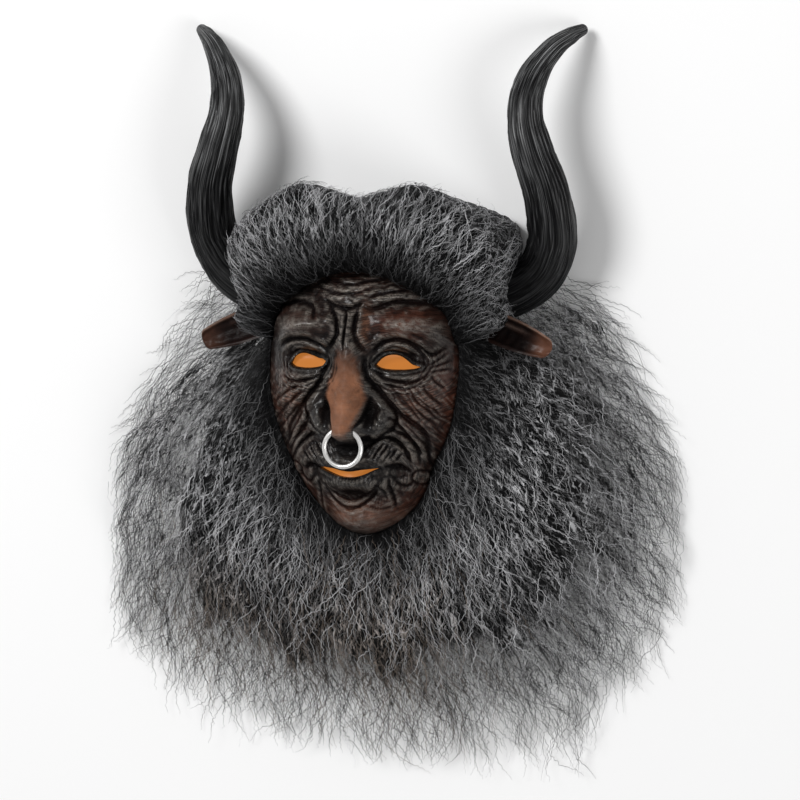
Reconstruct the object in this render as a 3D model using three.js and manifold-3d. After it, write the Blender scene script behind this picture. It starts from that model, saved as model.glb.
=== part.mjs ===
// A horned demon mask of the Alpine winter parades, lying on its back with the face up.
// It has a hollow moulded face shell, two horns, two drooping ears, a ring through the nose,
// orange film behind the openings, and glued hair: a two-lobed crown roll, two manes and a beard.
// Units are millimetres. +Z leaves the face, +Y points from the chin to the crown, and the back
// rim and the underside of the hair lie in the plane z = 0. Until the last lines, y = 0 is the eye line.
import * as THREE from "three";
import { mergeVertices } from "three/addons/utils/BufferGeometryUtils.js";
import Module from "manifold-3d";

const wasm = await Module();
wasm.setup();

// Sizes of the face shell
const WALL = 4;
const GAP = 0.4;
const RIM = { halfWidth: 95, crown: 110, chin: -160, middle: -18 };
const DOME = { height: 133, edgePower: 2.2, topPower: 2.75 };
const GRID_POLE_Y = -48;
const AROUND = 50;
const OUTER_ROWS = 20;
const INNER_ROWS = 7;

// Rounded forms on the face: centre, reach each way, and height. Those off the middle are mirrored.
const FORMS = {
  brow: { x: 43, y: 29, wide: 21, tall: 10, high: 14 },
  browOuter: { x: 62, y: 22, wide: 12, tall: 9, high: 5 },
  glabella: { x: 0, y: 16, wide: 12, tall: 20, high: 11 },
  forehead: { x: 0, y: 52, wide: 24, tall: 8, high: 6 },
  socket: { x: 37, y: 3, wide: 17, tall: 8, high: -10 },
  lowerLid: { x: 37, y: -11, wide: 15, tall: 4, high: 4 },
  cheek: { x: 54, y: -28, wide: 17, tall: 16, high: 9 },
  jowl: { x: 47, y: -72, wide: 9, tall: 18, high: 6 },
  mouthMound: { x: 0, y: -88, wide: 36, tall: 26, high: 13 },
  muzzle: { x: 27, y: -74, wide: 12, tall: 9, high: 6 },
  mouthCorner: { x: 34, y: -87, wide: 5, tall: 6, high: -6 },
  upperLip: { x: 0, y: -78, wide: 19, tall: 4.5, high: 5 },
  lowerLip: { x: 0, y: -97, wide: 21, tall: 5, high: 8 },
  underLip: { x: 0, y: -107, wide: 20, tall: 4.5, high: -5 },
  chin: { x: 0, y: -130, wide: 27, tall: 15, high: 24 },
  noseSide: { x: 14.5, y: -24, wide: 8, tall: 14, high: 6 },
  noseWing: { x: 23, y: -50, wide: 9, tall: 9, high: 14 },
  wingTop: { x: 27, y: -37, wide: 7, tall: 10, high: 7 },
};
const FORM_FADE = 0.12;
const NOSE = {
  bridgeY: 10,
  tipY: -56,
  bridgeHigh: 6,
  tipHigh: 38,
  bridgeWide: 10.5,
  tipWide: 14,
  riseFromY: 24,
  riseOver: 16,
  fallFromY: -68.8,
  fallToY: -52.8,
};
const FOLDS = [
  { from: [18, -12], to: [60, -72], wide: 5, deep: 6.5 },
  { from: [39, -62], to: [48, -92], wide: 4, deep: 4 },
  { from: [6, 18], to: [8, 44], wide: 4, deep: 4.5 },
  { from: [8, 46], to: [48, 50], wide: 4, deep: 4 },
];
// The openings, as curves between two corners that are pulled towards an upper and a lower point
const EYE = { innerX: 20, outerX: 53, pullX: 36, cornerY: -2.5, upperY: 15.2, lowerY: -8.5 };
const MOUTH = { halfWidth: 24.5, cornerY: -82, upperY: -86, lowerY: -98 };
const FILM = { thick: 1.4, margin: 5, eyeHalfHeight: 11, mouthHalfHeight: 10, mouthY: -88 };
const FLOOR_CUT = -5;
const CUT_FROM = 40;
const CUT_DEPTH = 160;
const CURVE_SEGMENTS = 6;

// Horns and ears: centre lines of the right one, as x, y, z
const HORN_LINE = [
  [84, 41, 31],
  [111, 50, 31],
  [130, 65, 31],
  [139.5, 86, 37],
  [141, 107, 47],
  [137.5, 133, 57],
  [129.5, 159, 63],
  [123, 184, 61.5],
  [122.5, 204, 56.5],
  [128, 223, 48],
  [139, 240.5, 36],
  [150, 250.5, 22],
  [158, 255.5, 11],
];
const HORN_RADII = [20.5, 20.3, 20, 19.7, 19.2, 18, 16.3, 14.6, 13, 11, 8.6, 6.2, 4.2];
const HORN_SIDES = 14;
const HORN_STEPS = 20;
const EAR = { root: [76, 30, 51], tip: [138, 7, 58], halfWidth: 13, thick: 3.6, cup: 8, hairGap: 0.6 };
const EAR_STEPS = 8;
const EAR_SIDES = 6;
const NOSE_RING = { centre: [0, -65, 158], radius: 14.6, wire: 1.8 };

// Hair: it starts along a hairline, a share of the way from the face's middle to the rim. The mane
// lies in a disc round a point below the chin.
const HAIRLINE = { crown: 0.69, brow: 0.83, side: 0.8, chin: 0.885, rootHigh: 5, tuck: 8 };
const MANE = {
  middleY: -130,
  radius: 230,
  squat: 0.92,
  lockReach: 12,
  waist: 12,
  edgeHigh: 12,
  beardHigh: 72,
  faceHigh: 84,
  hornHigh: 30,
  swell: 0.75,
  lockHigh: 8,
  rows: 6,
};
const MANE_TOP_ANGLE = 44;
const MANE_TOP_TURN = 54;
const MANE_WAIST_TURN = 22;
const MANE_WAIST_SPREAD = 18;
const BEARD_ANGLE = -52;
const HAIR_SPLIT = 0.3;
const SIDE_STEPS = 36;
const BEARD_STEPS = 30;
const LOCKS_PER_TURN = 26;
const CROWN = { endAngle: 20, middle: 147, lobe: 166, end: 121, high: 34, endHigh: 12, lean: 24, ridge: 3 };
const CROWN_STEPS = 30;
const CROWN_DEEP = 30;
const CROWN_LOBE_FROM_TOP = 20;
const CROWN_FALL_FROM_TOP = [40, 62];
const CROWN_LEAN_FROM_TOP = [15, 45];

const SKIN = new THREE.MeshStandardMaterial({ color: 0x3a2219, roughness: 0.5, metalness: 0 });
const HORN_BLACK = new THREE.MeshStandardMaterial({ color: 0x17181a, roughness: 0.55, metalness: 0 });
const HAIR_GREY = new THREE.MeshStandardMaterial({ color: 0x3a3b3d, roughness: 0.9, metalness: 0 });
const RING_SILVER = new THREE.MeshStandardMaterial({ color: 0xd8d4d0, roughness: 0.2, metalness: 1 });
const FILM_ORANGE = new THREE.MeshStandardMaterial({ color: 0xc87a34, roughness: 0.6, metalness: 0 });

const smooth = THREE.MathUtils.smoothstep;
const lerp = THREE.MathUtils.lerp;
const radians = THREE.MathUtils.degToRad;

function bump(x, y, form) {
  const one = (cx) => form.high * Math.exp(-(((x - cx) / form.wide) ** 2) - ((y - form.y) / form.tall) ** 2);
  return form.x === 0 ? one(0) : one(form.x) + one(-form.x);
}

// A groove along a straight line, and its mirror image
function groove(x, y, fold) {
  const [ax, ay] = fold.from;
  const [bx, by] = fold.to;
  const length = Math.hypot(bx - ax, by - ay);
  const along = ((Math.abs(x) - ax) * (bx - ax) + (y - ay) * (by - ay)) / length ** 2;
  const t = THREE.MathUtils.clamp(along, 0, 1);
  const away = Math.hypot(Math.abs(x) - lerp(ax, bx, t), y - lerp(ay, by, t));
  return -fold.deep * Math.exp(-((away / fold.wide) ** 2));
}

// The nose: a ridge that widens and rises from bridge to tip, then falls off steeply below it
function noseHeight(x, y) {
  const t = THREE.MathUtils.clamp((NOSE.bridgeY - y) / (NOSE.bridgeY - NOSE.tipY), 0, 1.6);
  const wide = lerp(NOSE.bridgeWide, NOSE.tipWide, Math.min(t, 1));
  const high = lerp(NOSE.bridgeHigh, NOSE.tipHigh, Math.min(t, 1) ** 0.9);
  const below = smooth(y, NOSE.fallFromY, NOSE.fallToY);
  const above = smooth(NOSE.riseFromY - y, 0, NOSE.riseOver);
  return high * above * below * Math.exp(-(Math.abs(x / wide) ** 2.4));
}

// Radius of the rim's egg-shaped outline about its middle: boxy at the crown, pointed at the chin
function rimRadius(angle, grow = 0) {
  const power = 2 + 0.3 * Math.sin(angle);
  const halfHeight = Math.sin(angle) > 0 ? RIM.crown - RIM.middle : RIM.middle - RIM.chin;
  const across = Math.abs(Math.cos(angle) / RIM.halfWidth) ** power;
  const up = Math.abs(Math.sin(angle) / halfHeight) ** power;
  return (across + up) ** (-1 / power) + grow;
}

function rimPoint(angle, grow = 0) {
  const r = rimRadius(angle, grow);
  return [r * Math.cos(angle), RIM.middle + r * Math.sin(angle)];
}

// Height of the face above the back plane: a dome with the face's forms on it
function faceHeight(x, y, grow = 0) {
  const share = Math.hypot(x, y - RIM.middle) / rimRadius(Math.atan2(y - RIM.middle, x), grow);
  if (share >= 1) return 0;
  const dome = (DOME.height + grow) * (1 - share ** DOME.edgePower) ** (1 / DOME.topPower);
  let forms = noseHeight(x, y);
  for (const form of Object.values(FORMS)) forms += bump(x, y, form);
  for (const fold of FOLDS) forms += groove(x, y, fold);
  return dome + forms * smooth(1 - share, 0, FORM_FADE);
}

// The shell's inside: as low as a ball of the wall's thickness pushes it from each point near by
function insideHeight(x, y) {
  let low = faceHeight(x, y) - WALL;
  for (let i = 0; i < 12; i++) {
    const a = (i * Math.PI) / 6;
    for (const reach of [0.5, 0.95]) {
      const near = faceHeight(x + reach * WALL * Math.cos(a), y + reach * WALL * Math.sin(a));
      low = Math.min(low, near - WALL * Math.sqrt(1 - reach * reach));
    }
  }
  return Math.max(low, 0);
}

function geometryOf(points, triangles) {
  const made = new THREE.BufferGeometry();
  made.setAttribute("position", new THREE.Float32BufferAttribute(points.flat(), 3));
  made.setIndex(triangles.flat());
  return made;
}

function solidOf(geometry) {
  const bare = geometry.clone();
  bare.deleteAttribute("normal");
  bare.deleteAttribute("uv");
  const merged = mergeVertices(bare, 1e-4);
  const vertProperties = merged.attributes.position.array;
  const triVerts = new Uint32Array(merged.index.array);
  return new wasm.Manifold(new wasm.Mesh({ numProp: 3, vertProperties, triVerts }));
}

// The largest body of a solid, as a mesh with its name and material
function meshOf(name, solid, material) {
  const bodies = solid.decompose().sort((a, b) => b.volume() - a.volume());
  const cut = bodies[0].getMesh();
  const made = new THREE.BufferGeometry();
  made.setAttribute("position", new THREE.BufferAttribute(new Float32Array(cut.vertProperties), 3));
  made.setIndex(new THREE.BufferAttribute(new Uint32Array(cut.triVerts), 1));
  const mesh = new THREE.Mesh(made.toNonIndexed(), material);
  mesh.geometry.computeVertexNormals();
  mesh.name = name;
  return mesh;
}

// Triangles that fill a flat outline of points in space, all turning the way that the outline does
function capOf(outline) {
  const corners = outline.map((p) => new THREE.Vector3(...p));
  const normal = new THREE.Vector3();
  corners.forEach((p, i) => normal.add(p.clone().cross(corners[(i + 1) % corners.length])));
  const turn = new THREE.Quaternion().setFromUnitVectors(normal.normalize(), new THREE.Vector3(0, 0, 1));
  const flat = corners.map((p) => p.applyQuaternion(turn)).map((p) => new THREE.Vector2(p.x, p.y));
  return THREE.ShapeUtils.triangulateShape(flat, []).map((t) => {
    const area = THREE.ShapeUtils.area(t.map((k) => flat[k]));
    return area < 0 ? [t[0], t[2], t[1]] : t;
  });
}

// A closed solid through a row of closed sections with the same number of points
function loft(sections) {
  const count = sections[0].length;
  const triangles = [];
  for (let i = 0; i + 1 < sections.length; i++)
    for (let j = 0; j < count; j++) {
      const a = i * count + j;
      const b = i * count + ((j + 1) % count);
      triangles.push([a, a + count, b + count], [a, b + count, b]);
    }
  const last = (sections.length - 1) * count;
  const lastCap = capOf(sections.at(-1)).map(([a, b, c]) => [last + a, last + c, last + b]);
  triangles.push(...capOf(sections[0]), ...lastCap);
  const solid = solidOf(geometryOf(sections.flat(), triangles));
  if (solid.volume() > 0) return solid;
  return solidOf(geometryOf(sections.flat(), triangles.map(([a, b, c]) => [a, c, b])));
}

// A surface from a pole inside the rim out to the rim, over the height that is given
function polarSurface(height, rows, grow) {
  const points = [[0, GRID_POLE_Y, height(0, GRID_POLE_Y)]];
  for (let j = 1; j <= rows; j++) {
    const t = j / rows;
    const s = 0.5 * t + 0.5 * Math.sin((Math.PI / 2) * t);
    for (let i = 0; i < AROUND; i++) {
      const [rx, ry] = rimPoint((2 * Math.PI * i) / AROUND, grow);
      const x = rx * s;
      const y = lerp(GRID_POLE_Y, ry, s);
      points.push([x, y, j === rows ? 0 : Math.max(height(x, y), 0.5)]);
    }
  }
  return points;
}

// Faces of a polar surface. Each quad is split along the diagonal that stays nearer to the surface.
function polarTriangles(points, rows, height) {
  const at = (j, i) => 1 + (j - 1) * AROUND + (i % AROUND);
  const triangles = [];
  for (let i = 0; i < AROUND; i++) {
    triangles.push([0, at(1, i), at(1, i + 1)]);
    for (let j = 1; j < rows; j++) {
      const [a, b, c, d] = [at(j, i), at(j + 1, i), at(j + 1, i + 1), at(j, i + 1)];
      const miss = (p, q) => {
        const [x, y, z] = [0, 1, 2].map((k) => (points[p][k] + points[q][k]) / 2);
        return Math.abs(z - height(x, y));
      };
      if (miss(a, c) < miss(b, d)) triangles.push([a, b, c], [a, c, d]);
      else triangles.push([a, b, d], [b, c, d]);
    }
  }
  return triangles;
}

// The shell: outer surface, inner surface turned over, and the flat rim between them
function hollowShell() {
  const outer = polarSurface(faceHeight, OUTER_ROWS, 0);
  const inner = polarSurface(insideHeight, INNER_ROWS, -WALL);
  const start = outer.length;
  const triangles = polarTriangles(outer, OUTER_ROWS, faceHeight);
  const turnedOver = polarTriangles(inner, INNER_ROWS, insideHeight);
  triangles.push(...turnedOver.map(([a, b, c]) => [start + a, start + c, start + b]));
  const outerRing = start - AROUND;
  const innerRing = start + inner.length - AROUND;
  for (let i = 0; i < AROUND; i++) {
    const next = (i + 1) % AROUND;
    triangles.push([outerRing + i, innerRing + i, innerRing + next]);
    triangles.push([outerRing + i, innerRing + next, outerRing + next]);
  }
  return solidOf(geometryOf([...outer, ...inner], triangles));
}

// The space under a height over the rim, closed by a flat floor below it
function filled(height, rows, grow) {
  const points = polarSurface(height, rows, grow);
  const triangles = polarTriangles(points, rows, height);
  for (const p of points.slice(-AROUND)) p[2] = FLOOR_CUT;
  const bottom = points.length;
  const ring = bottom - AROUND;
  for (let i = 0; i < AROUND; i++) triangles.push([bottom, ring + ((i + 1) % AROUND), ring + i]);
  return solidOf(geometryOf([...points, [0, RIM.middle, FLOOR_CUT]], triangles));
}

// The outside of the shell, filled and a little larger, for cutting what is glued to it
function filledShell(grow) {
  return filled((x, y) => faceHeight(x, y, grow) + grow, OUTER_ROWS, grow);
}

// The space inside the shell, a little lower than its roof
function filledInside(drop) {
  return filled((x, y) => insideHeight(x, y) - drop, INNER_ROWS, -WALL);
}

function eyeShape(side) {
  const shape = new THREE.Shape();
  shape.moveTo(side * EYE.innerX, EYE.cornerY);
  shape.quadraticCurveTo(side * EYE.pullX, EYE.lowerY, side * EYE.outerX, EYE.cornerY);
  shape.quadraticCurveTo(side * EYE.pullX, EYE.upperY, side * EYE.innerX, EYE.cornerY);
  return shape;
}

function mouthShape() {
  const shape = new THREE.Shape();
  shape.moveTo(-MOUTH.halfWidth, MOUTH.cornerY);
  shape.quadraticCurveTo(0, MOUTH.lowerY, MOUTH.halfWidth, MOUTH.cornerY);
  shape.quadraticCurveTo(0, MOUTH.upperY, -MOUTH.halfWidth, MOUTH.cornerY);
  return shape;
}

function throughCut(shape) {
  const cut = { depth: CUT_DEPTH, bevelEnabled: false, curveSegments: CURVE_SEGMENTS };
  return solidOf(new THREE.ExtrudeGeometry(shape, cut).translate(0, 0, CUT_FROM));
}

// A thin oval panel that follows the shell's inside, behind an opening
function film(middleX, middleY, halfWidth, halfHeight) {
  const oval = new THREE.Shape().absellipse(middleX, middleY, halfWidth, halfHeight, 0, 2 * Math.PI);
  return throughCut(oval).intersect(filmRoof).subtract(filmFloor);
}

function mirrored(points, side) {
  return points.map(([x, y, z]) => new THREE.Vector3(side * x, y, z));
}

// A horn: round sections along its line, with a blunt rounded tip
function horn(side, grow = 0) {
  const line = new THREE.CatmullRomCurve3(mirrored(HORN_LINE, side), false, "centripetal");
  const frames = line.computeFrenetFrames(HORN_STEPS, false);
  const sections = [];
  for (let i = 0; i <= HORN_STEPS; i++) {
    const t = i / HORN_STEPS;
    const place = t * (HORN_RADII.length - 1);
    const low = Math.min(Math.floor(place), HORN_RADII.length - 2);
    const radius = lerp(HORN_RADII[low], HORN_RADII[low + 1], place - low) + grow;
    sections.push(ringAt(line.getPoint(t), frames, i, radius));
  }
  const tipRadius = HORN_RADII.at(-1) + grow;
  const past = line.getPoint(1).addScaledVector(line.getTangent(1), tipRadius * 0.7);
  sections.push(ringAt(past, frames, HORN_STEPS, tipRadius * 0.6));
  return loft(sections);
}

function ringAt(centre, frames, i, radius) {
  return Array.from({ length: HORN_SIDES }, (_, k) => {
    const a = (2 * Math.PI * k) / HORN_SIDES;
    return centre
      .clone()
      .addScaledVector(frames.normals[i], radius * Math.cos(a))
      .addScaledVector(frames.binormals[i], radius * Math.sin(a))
      .toArray();
  });
}

// An ear: crescent sections from the root to the tip, cupped towards the front
function ear(side, grow = 0) {
  const [root, tip] = mirrored([EAR.root, EAR.tip], side);
  const along = tip.clone().sub(root).normalize();
  const front = new THREE.Vector3(0, 0, 1);
  const across = front.clone().cross(along).normalize();
  const sections = [];
  for (let i = 0; i <= EAR_STEPS; i++) {
    const t = i / EAR_STEPS;
    const bare = EAR.halfWidth * Math.sin(Math.PI * (0.2 + 0.62 * t)) ** 0.6;
    const width = bare + grow;
    const centre = root.clone().lerp(tip, t);
    const section = [];
    for (const [lift, way] of [[EAR.thick / 2 + grow, 1], [-EAR.thick / 2 - grow, -1]])
      for (let k = 0; k <= EAR_SIDES; k++) {
        const v = way * (1 - (2 * k) / EAR_SIDES);
        const cup = EAR.cup * ((v * width) / bare) ** 2 * (1 - 0.5 * t);
        const thin = 1 - 0.55 * v * v;
        const point = centre.clone().addScaledVector(across, v * width);
        section.push(point.addScaledVector(front, cup + lift * thin).toArray());
      }
    sections.push(section);
  }
  return loft(sections);
}

// How far a point of the mane stands out as part of a lock, from 0 between locks to 1
function lockWave(angle) {
  const turn = Math.abs(angle + Math.PI / 2) * LOCKS_PER_TURN;
  return 0.6 * Math.abs(Math.sin(turn / 2)) + 0.4 * Math.abs(Math.sin(turn * 0.83 + 1));
}

// Distance of the hairline from the middle of the rim
function hairlineRadius(angle) {
  const up = Math.sin(angle);
  const above = lerp(HAIRLINE.brow, HAIRLINE.crown, smooth(up, 0.55, 1));
  const below = lerp(HAIRLINE.side, HAIRLINE.chin, smooth(-up, 0.72, 0.97));
  return rimRadius(angle) * lerp(below, above, smooth(up, -0.3, 0.5));
}

// A stretch of mane between two angles: sections from the hairline out to the ragged edge
function mane(fromAngle, toAngle, steps) {
  const sections = [];
  for (let i = 0; i <= steps; i++) {
    const degrees = lerp(fromAngle, toAngle, i / steps);
    const angle = radians(degrees);
    const side = degrees < -90 ? -1 : 1;
    const rightward = side < 0 ? -180 - degrees : degrees;
    const turn = -90 + (rightward + 90) * ((MANE_TOP_TURN + 90) / (MANE_TOP_ANGLE + 90));
    const lock = lockWave(angle);
    const fromWaist = (turn - MANE_WAIST_TURN) / MANE_WAIST_SPREAD;
    const reach = MANE.radius + MANE.lockReach * lock - MANE.waist * Math.exp(-(fromWaist ** 2));
    const outX = side * reach * Math.cos(radians(turn));
    const outY = MANE.middleY + reach * Math.sin(radians(turn)) * (turn < 0 ? MANE.squat : 1);
    const root = hairlineRadius(angle);
    const [rootX, rootY] = [root * Math.cos(angle), RIM.middle + root * Math.sin(angle)];
    const skin = faceHeight(rootX, rootY);
    const low = lerp(MANE.beardHigh, MANE.faceHigh, smooth(rightward, -75, -40));
    const high = lerp(low, MANE.hornHigh, smooth(rightward, -12, 32));
    const section = [[outX, outY, 0], [...rimPoint(angle, -2), 0]];
    for (let j = 0; j <= MANE.rows; j++) {
      const t = (j / MANE.rows) ** 1.2;
      const edge = MANE.edgeHigh * (1 - 0.4 * t);
      const mound = (high - MANE.edgeHigh) * (1 - t * t) * (1 + MANE.swell * t);
      const ridge = MANE.lockHigh * lock * Math.min(3 * t, 1) * (1 - 0.6 * t);
      const overSkin = (skin + HAIRLINE.rootHigh - high) * (1 - smooth(t, 0, 0.25));
      const tucked = j === 0 ? HAIRLINE.tuck : 0;
      section.push([lerp(rootX, outX, t), lerp(rootY, outY, t), edge + mound + ridge + overSkin - tucked]);
    }
    sections.push(section);
  }
  return loft(sections);
}

// The crown roll: hair that starts at the hairline, swells high over the brow and falls to the rim
function crownRoll(grow = 0) {
  const sections = [];
  for (let i = 0; i <= CROWN_STEPS; i++) {
    const degrees = lerp(CROWN.endAngle, 180 - CROWN.endAngle, i / CROWN_STEPS);
    const angle = radians(degrees);
    const fromTop = Math.abs(degrees - 90);
    const root = hairlineRadius(angle) - grow;
    const fall = smooth(fromTop, ...CROWN_FALL_FROM_TOP);
    const ridge = CROWN.ridge * (i % 2);
    const lobe = lerp(CROWN.middle, CROWN.lobe, smooth(fromTop, 0, CROWN_LOBE_FROM_TOP));
    const outer = lerp(lobe, CROWN.end, fall) + grow + ridge * 0.5;
    const skin = faceHeight(root * Math.cos(angle), RIM.middle + root * Math.sin(angle));
    const depth = outer - root;
    const lean = CROWN.lean * (1 - smooth(fromTop, ...CROWN_LEAN_FROM_TOP));
    const plump = lerp(CROWN.high, CROWN.endHigh, fall) + ridge + grow;
    const profile = [
      [root - CROWN_DEEP, 0],
      [root - CROWN_DEEP, skin - 16],
      [root - 2, skin - 8],
      [root - 2, skin + plump * 0.4],
      [root + depth * 0.1, skin + plump * 0.8],
      [root + depth * 0.3, skin + plump],
      [root + depth * 0.6, skin + plump],
      [root + depth * 0.85, skin + plump * 0.6],
      [outer - CROWN.lean * 0.3 + lean * 0.3, skin + plump * 0.1],
      [outer - lean * 0.3, skin * 0.6],
      [outer - lean * 0.65, skin * 0.25],
      [outer - lean - 4, 0],
    ];
    const at = (r, z) => [r * Math.cos(angle), RIM.middle + r * Math.sin(angle), Math.max(z, 0)];
    sections.push(profile.map(([r, z]) => at(r, z)));
  }
  return loft(sections);
}

function noseRing(grow = 0) {
  const torus = new THREE.TorusGeometry(NOSE_RING.radius, NOSE_RING.wire + grow, 6, 24);
  return solidOf(torus.translate(...NOSE_RING.centre));
}

const filmRoof = filledInside(GAP);
const filmFloor = filledInside(GAP + FILM.thick);
const shellCutter = filledShell(GAP);
const hornCutters = horn(1, GAP).add(horn(-1, GAP));
const earCutters = ear(1, EAR.hairGap).add(ear(-1, EAR.hairGap));
const crown = crownRoll().subtract(shellCutter).subtract(hornCutters).subtract(earCutters);
const maneCutter = shellCutter.add(hornCutters).add(earCutters).add(crownRoll(GAP));

let shell = hollowShell().subtract(noseRing(GAP));
for (const shape of [eyeShape(1), eyeShape(-1), mouthShape()]) shell = shell.subtract(throughCut(shape));

const mask = new THREE.Group();
mask.add(meshOf("face_shell", shell, SKIN));
mask.add(meshOf("nose_ring", noseRing(), RING_SILVER));
const eyeMiddle = (EYE.innerX + EYE.outerX) / 2;
const eyeHalf = (EYE.outerX - EYE.innerX) / 2 + FILM.margin;
const mouthHalf = MOUTH.halfWidth + FILM.margin;
mask.add(meshOf("mouth_film", film(0, FILM.mouthY, mouthHalf, FILM.mouthHalfHeight), FILM_ORANGE));
for (const [side, word] of [[1, "right"], [-1, "left"]]) {
  mask.add(meshOf(`eye_film_${word}`, film(side * eyeMiddle, 0, eyeHalf, FILM.eyeHalfHeight), FILM_ORANGE));
  mask.add(meshOf(`horn_${word}`, horn(side).subtract(shellCutter), HORN_BLACK));
  mask.add(meshOf(`ear_${word}`, ear(side).subtract(shellCutter).subtract(hornCutters), SKIN));
  const ends = [BEARD_ANGLE + HAIR_SPLIT, MANE_TOP_ANGLE];
  const [from, to] = side > 0 ? ends : [-180 - ends[1], -180 - ends[0]];
  mask.add(meshOf(`side_hair_${word}`, mane(from, to, SIDE_STEPS).subtract(maneCutter), HAIR_GREY));
}
mask.add(meshOf("beard", mane(-180 - BEARD_ANGLE, BEARD_ANGLE, BEARD_STEPS).subtract(maneCutter), HAIR_GREY));
mask.add(meshOf("crown_hair", crown, HAIR_GREY));

// The origin goes to the middle of the whole mask, in the plane that it lies on.
mask.position.y = -new THREE.Box3().setFromObject(mask).getCenter(new THREE.Vector3()).y;

export default mask;
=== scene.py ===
"""The looks of a horned demon mask that lies on its back with the face up.

The painted face, ears, horns, ring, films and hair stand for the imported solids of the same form. Shapes are
worked out in millimetres in the face's own frame, where y = 0 is the eye line, and placed in metres in the
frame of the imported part.
"""

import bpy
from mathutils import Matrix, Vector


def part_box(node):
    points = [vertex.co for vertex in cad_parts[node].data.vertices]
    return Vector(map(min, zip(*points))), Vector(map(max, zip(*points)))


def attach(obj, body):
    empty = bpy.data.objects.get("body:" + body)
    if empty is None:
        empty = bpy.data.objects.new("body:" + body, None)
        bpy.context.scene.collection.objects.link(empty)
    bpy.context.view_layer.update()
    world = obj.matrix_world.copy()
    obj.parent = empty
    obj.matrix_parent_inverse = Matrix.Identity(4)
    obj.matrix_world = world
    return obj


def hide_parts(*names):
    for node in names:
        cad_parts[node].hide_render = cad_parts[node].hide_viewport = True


bl_info = {
    "name": "Horned Demon Mask",
    "version": (1, 0, 0),
    "blender": (4, 5, 0),
    "location": "3D View > Sidebar > Mask",
    "description": "Builds the painted face, ears, horns, ring, films and hair of a horned demon mask",
    "category": "Add Mesh",
}

import bpy
import numpy as np
from bpy.props import FloatProperty, FloatVectorProperty, IntProperty, PointerProperty
from mathutils import Matrix, Vector

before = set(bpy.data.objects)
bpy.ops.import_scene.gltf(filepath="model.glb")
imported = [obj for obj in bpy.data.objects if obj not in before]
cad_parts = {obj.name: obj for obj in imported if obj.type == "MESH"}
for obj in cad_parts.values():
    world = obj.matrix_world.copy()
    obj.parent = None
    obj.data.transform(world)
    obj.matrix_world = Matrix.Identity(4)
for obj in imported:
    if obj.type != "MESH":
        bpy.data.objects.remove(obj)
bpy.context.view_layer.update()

MM = 0.001
EYE_FILM_LOW, EYE_FILM_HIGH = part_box("eye_film_right")
EYE_LINE = (EYE_FILM_LOW.y + EYE_FILM_HIGH.y) / 2 / MM

# The face shell, in mm: the outline of its back rim, the dome over it, and the wall
WALL = 4.0
RIM = {"half_width": 95.0, "crown": 110.0, "chin": -160.0, "middle": -18.0}
DOME = {"height": 133.0, "edge_power": 2.2, "top_power": 2.75}
POLE_Y = -48.0
FACE_AROUND = 384
FACE_ROWS = 126
RIM_ROWS = 12
INSIDE_ROWS = 20
VISIBLE_SHARE = 0.86
FORM_FADE = 0.12

# Rounded forms on the face: x, y, reach across, reach up, height. Those off the middle are mirrored. All
# tables of soft spots are laid out in this way.
FORMS = [
    (43, 29, 21, 10, 14),
    (62, 22, 12, 9, 5),
    (0, 16, 12, 20, 11),
    (0, 52, 24, 8, 6),
    (37, 3, 17, 8, -10),
    (37, -11, 15, 4, 4),
    (54, -28, 17, 16, 9),
    (47, -72, 9, 18, 6),
    (0, -88, 36, 26, 13),
    (27, -74, 12, 9, 6),
    (34, -87, 5, 6, -6),
    (0, -78, 19, 4.5, 5),
    (0, -97, 21, 5, 8),
    (0, -107, 20, 4.5, -5),
    (0, -130, 27, 15, 24),
    (23, -50, 9, 9, 14),
]
# Fuller and hollower forms that aren't mirrored
UNEVEN_FORMS = [
    (14, -24, 8, 14, 6),
    (-15, -24, 8, 14, 6.5),
    (26, -37, 7, 10, 7),
    (-28, -37, 7, 10, 7),
    (17, -42, 4.5, 9, -6),
    (-18, -42, 4.5, 9, -6),
    (29, -46, 4.5, 4.5, 3),
    (13.5, -60.5, 5, 3.2, -8),
    (-13.5, -60.5, 5, 3.2, -8),
    (44, 29, 17, 8, 6),
    (65, 17, 10, 11, 6.5),
    (-50, 26, 12, 8, 5.5),
    (-24, 30, 8, 9, 3.5),
    (-64, 12, 8, 8, 3),
    (36, 9, 13, 4.5, 2.5),
    (-42, 8, 14, 4.5, 2.5),
    (60, -12, 9, 7, 2),
    (-60, -14, 9, 7, 2),
]
NOSE = {"bridge_y": 10, "tip_y": -56, "bridge_high": 6, "tip_high": 38, "bridge_wide": 10.5, "tip_wide": 14}
NOSE_RISE = (24, 16)
NOSE_FALL = (-68.8, -52.8)

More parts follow.
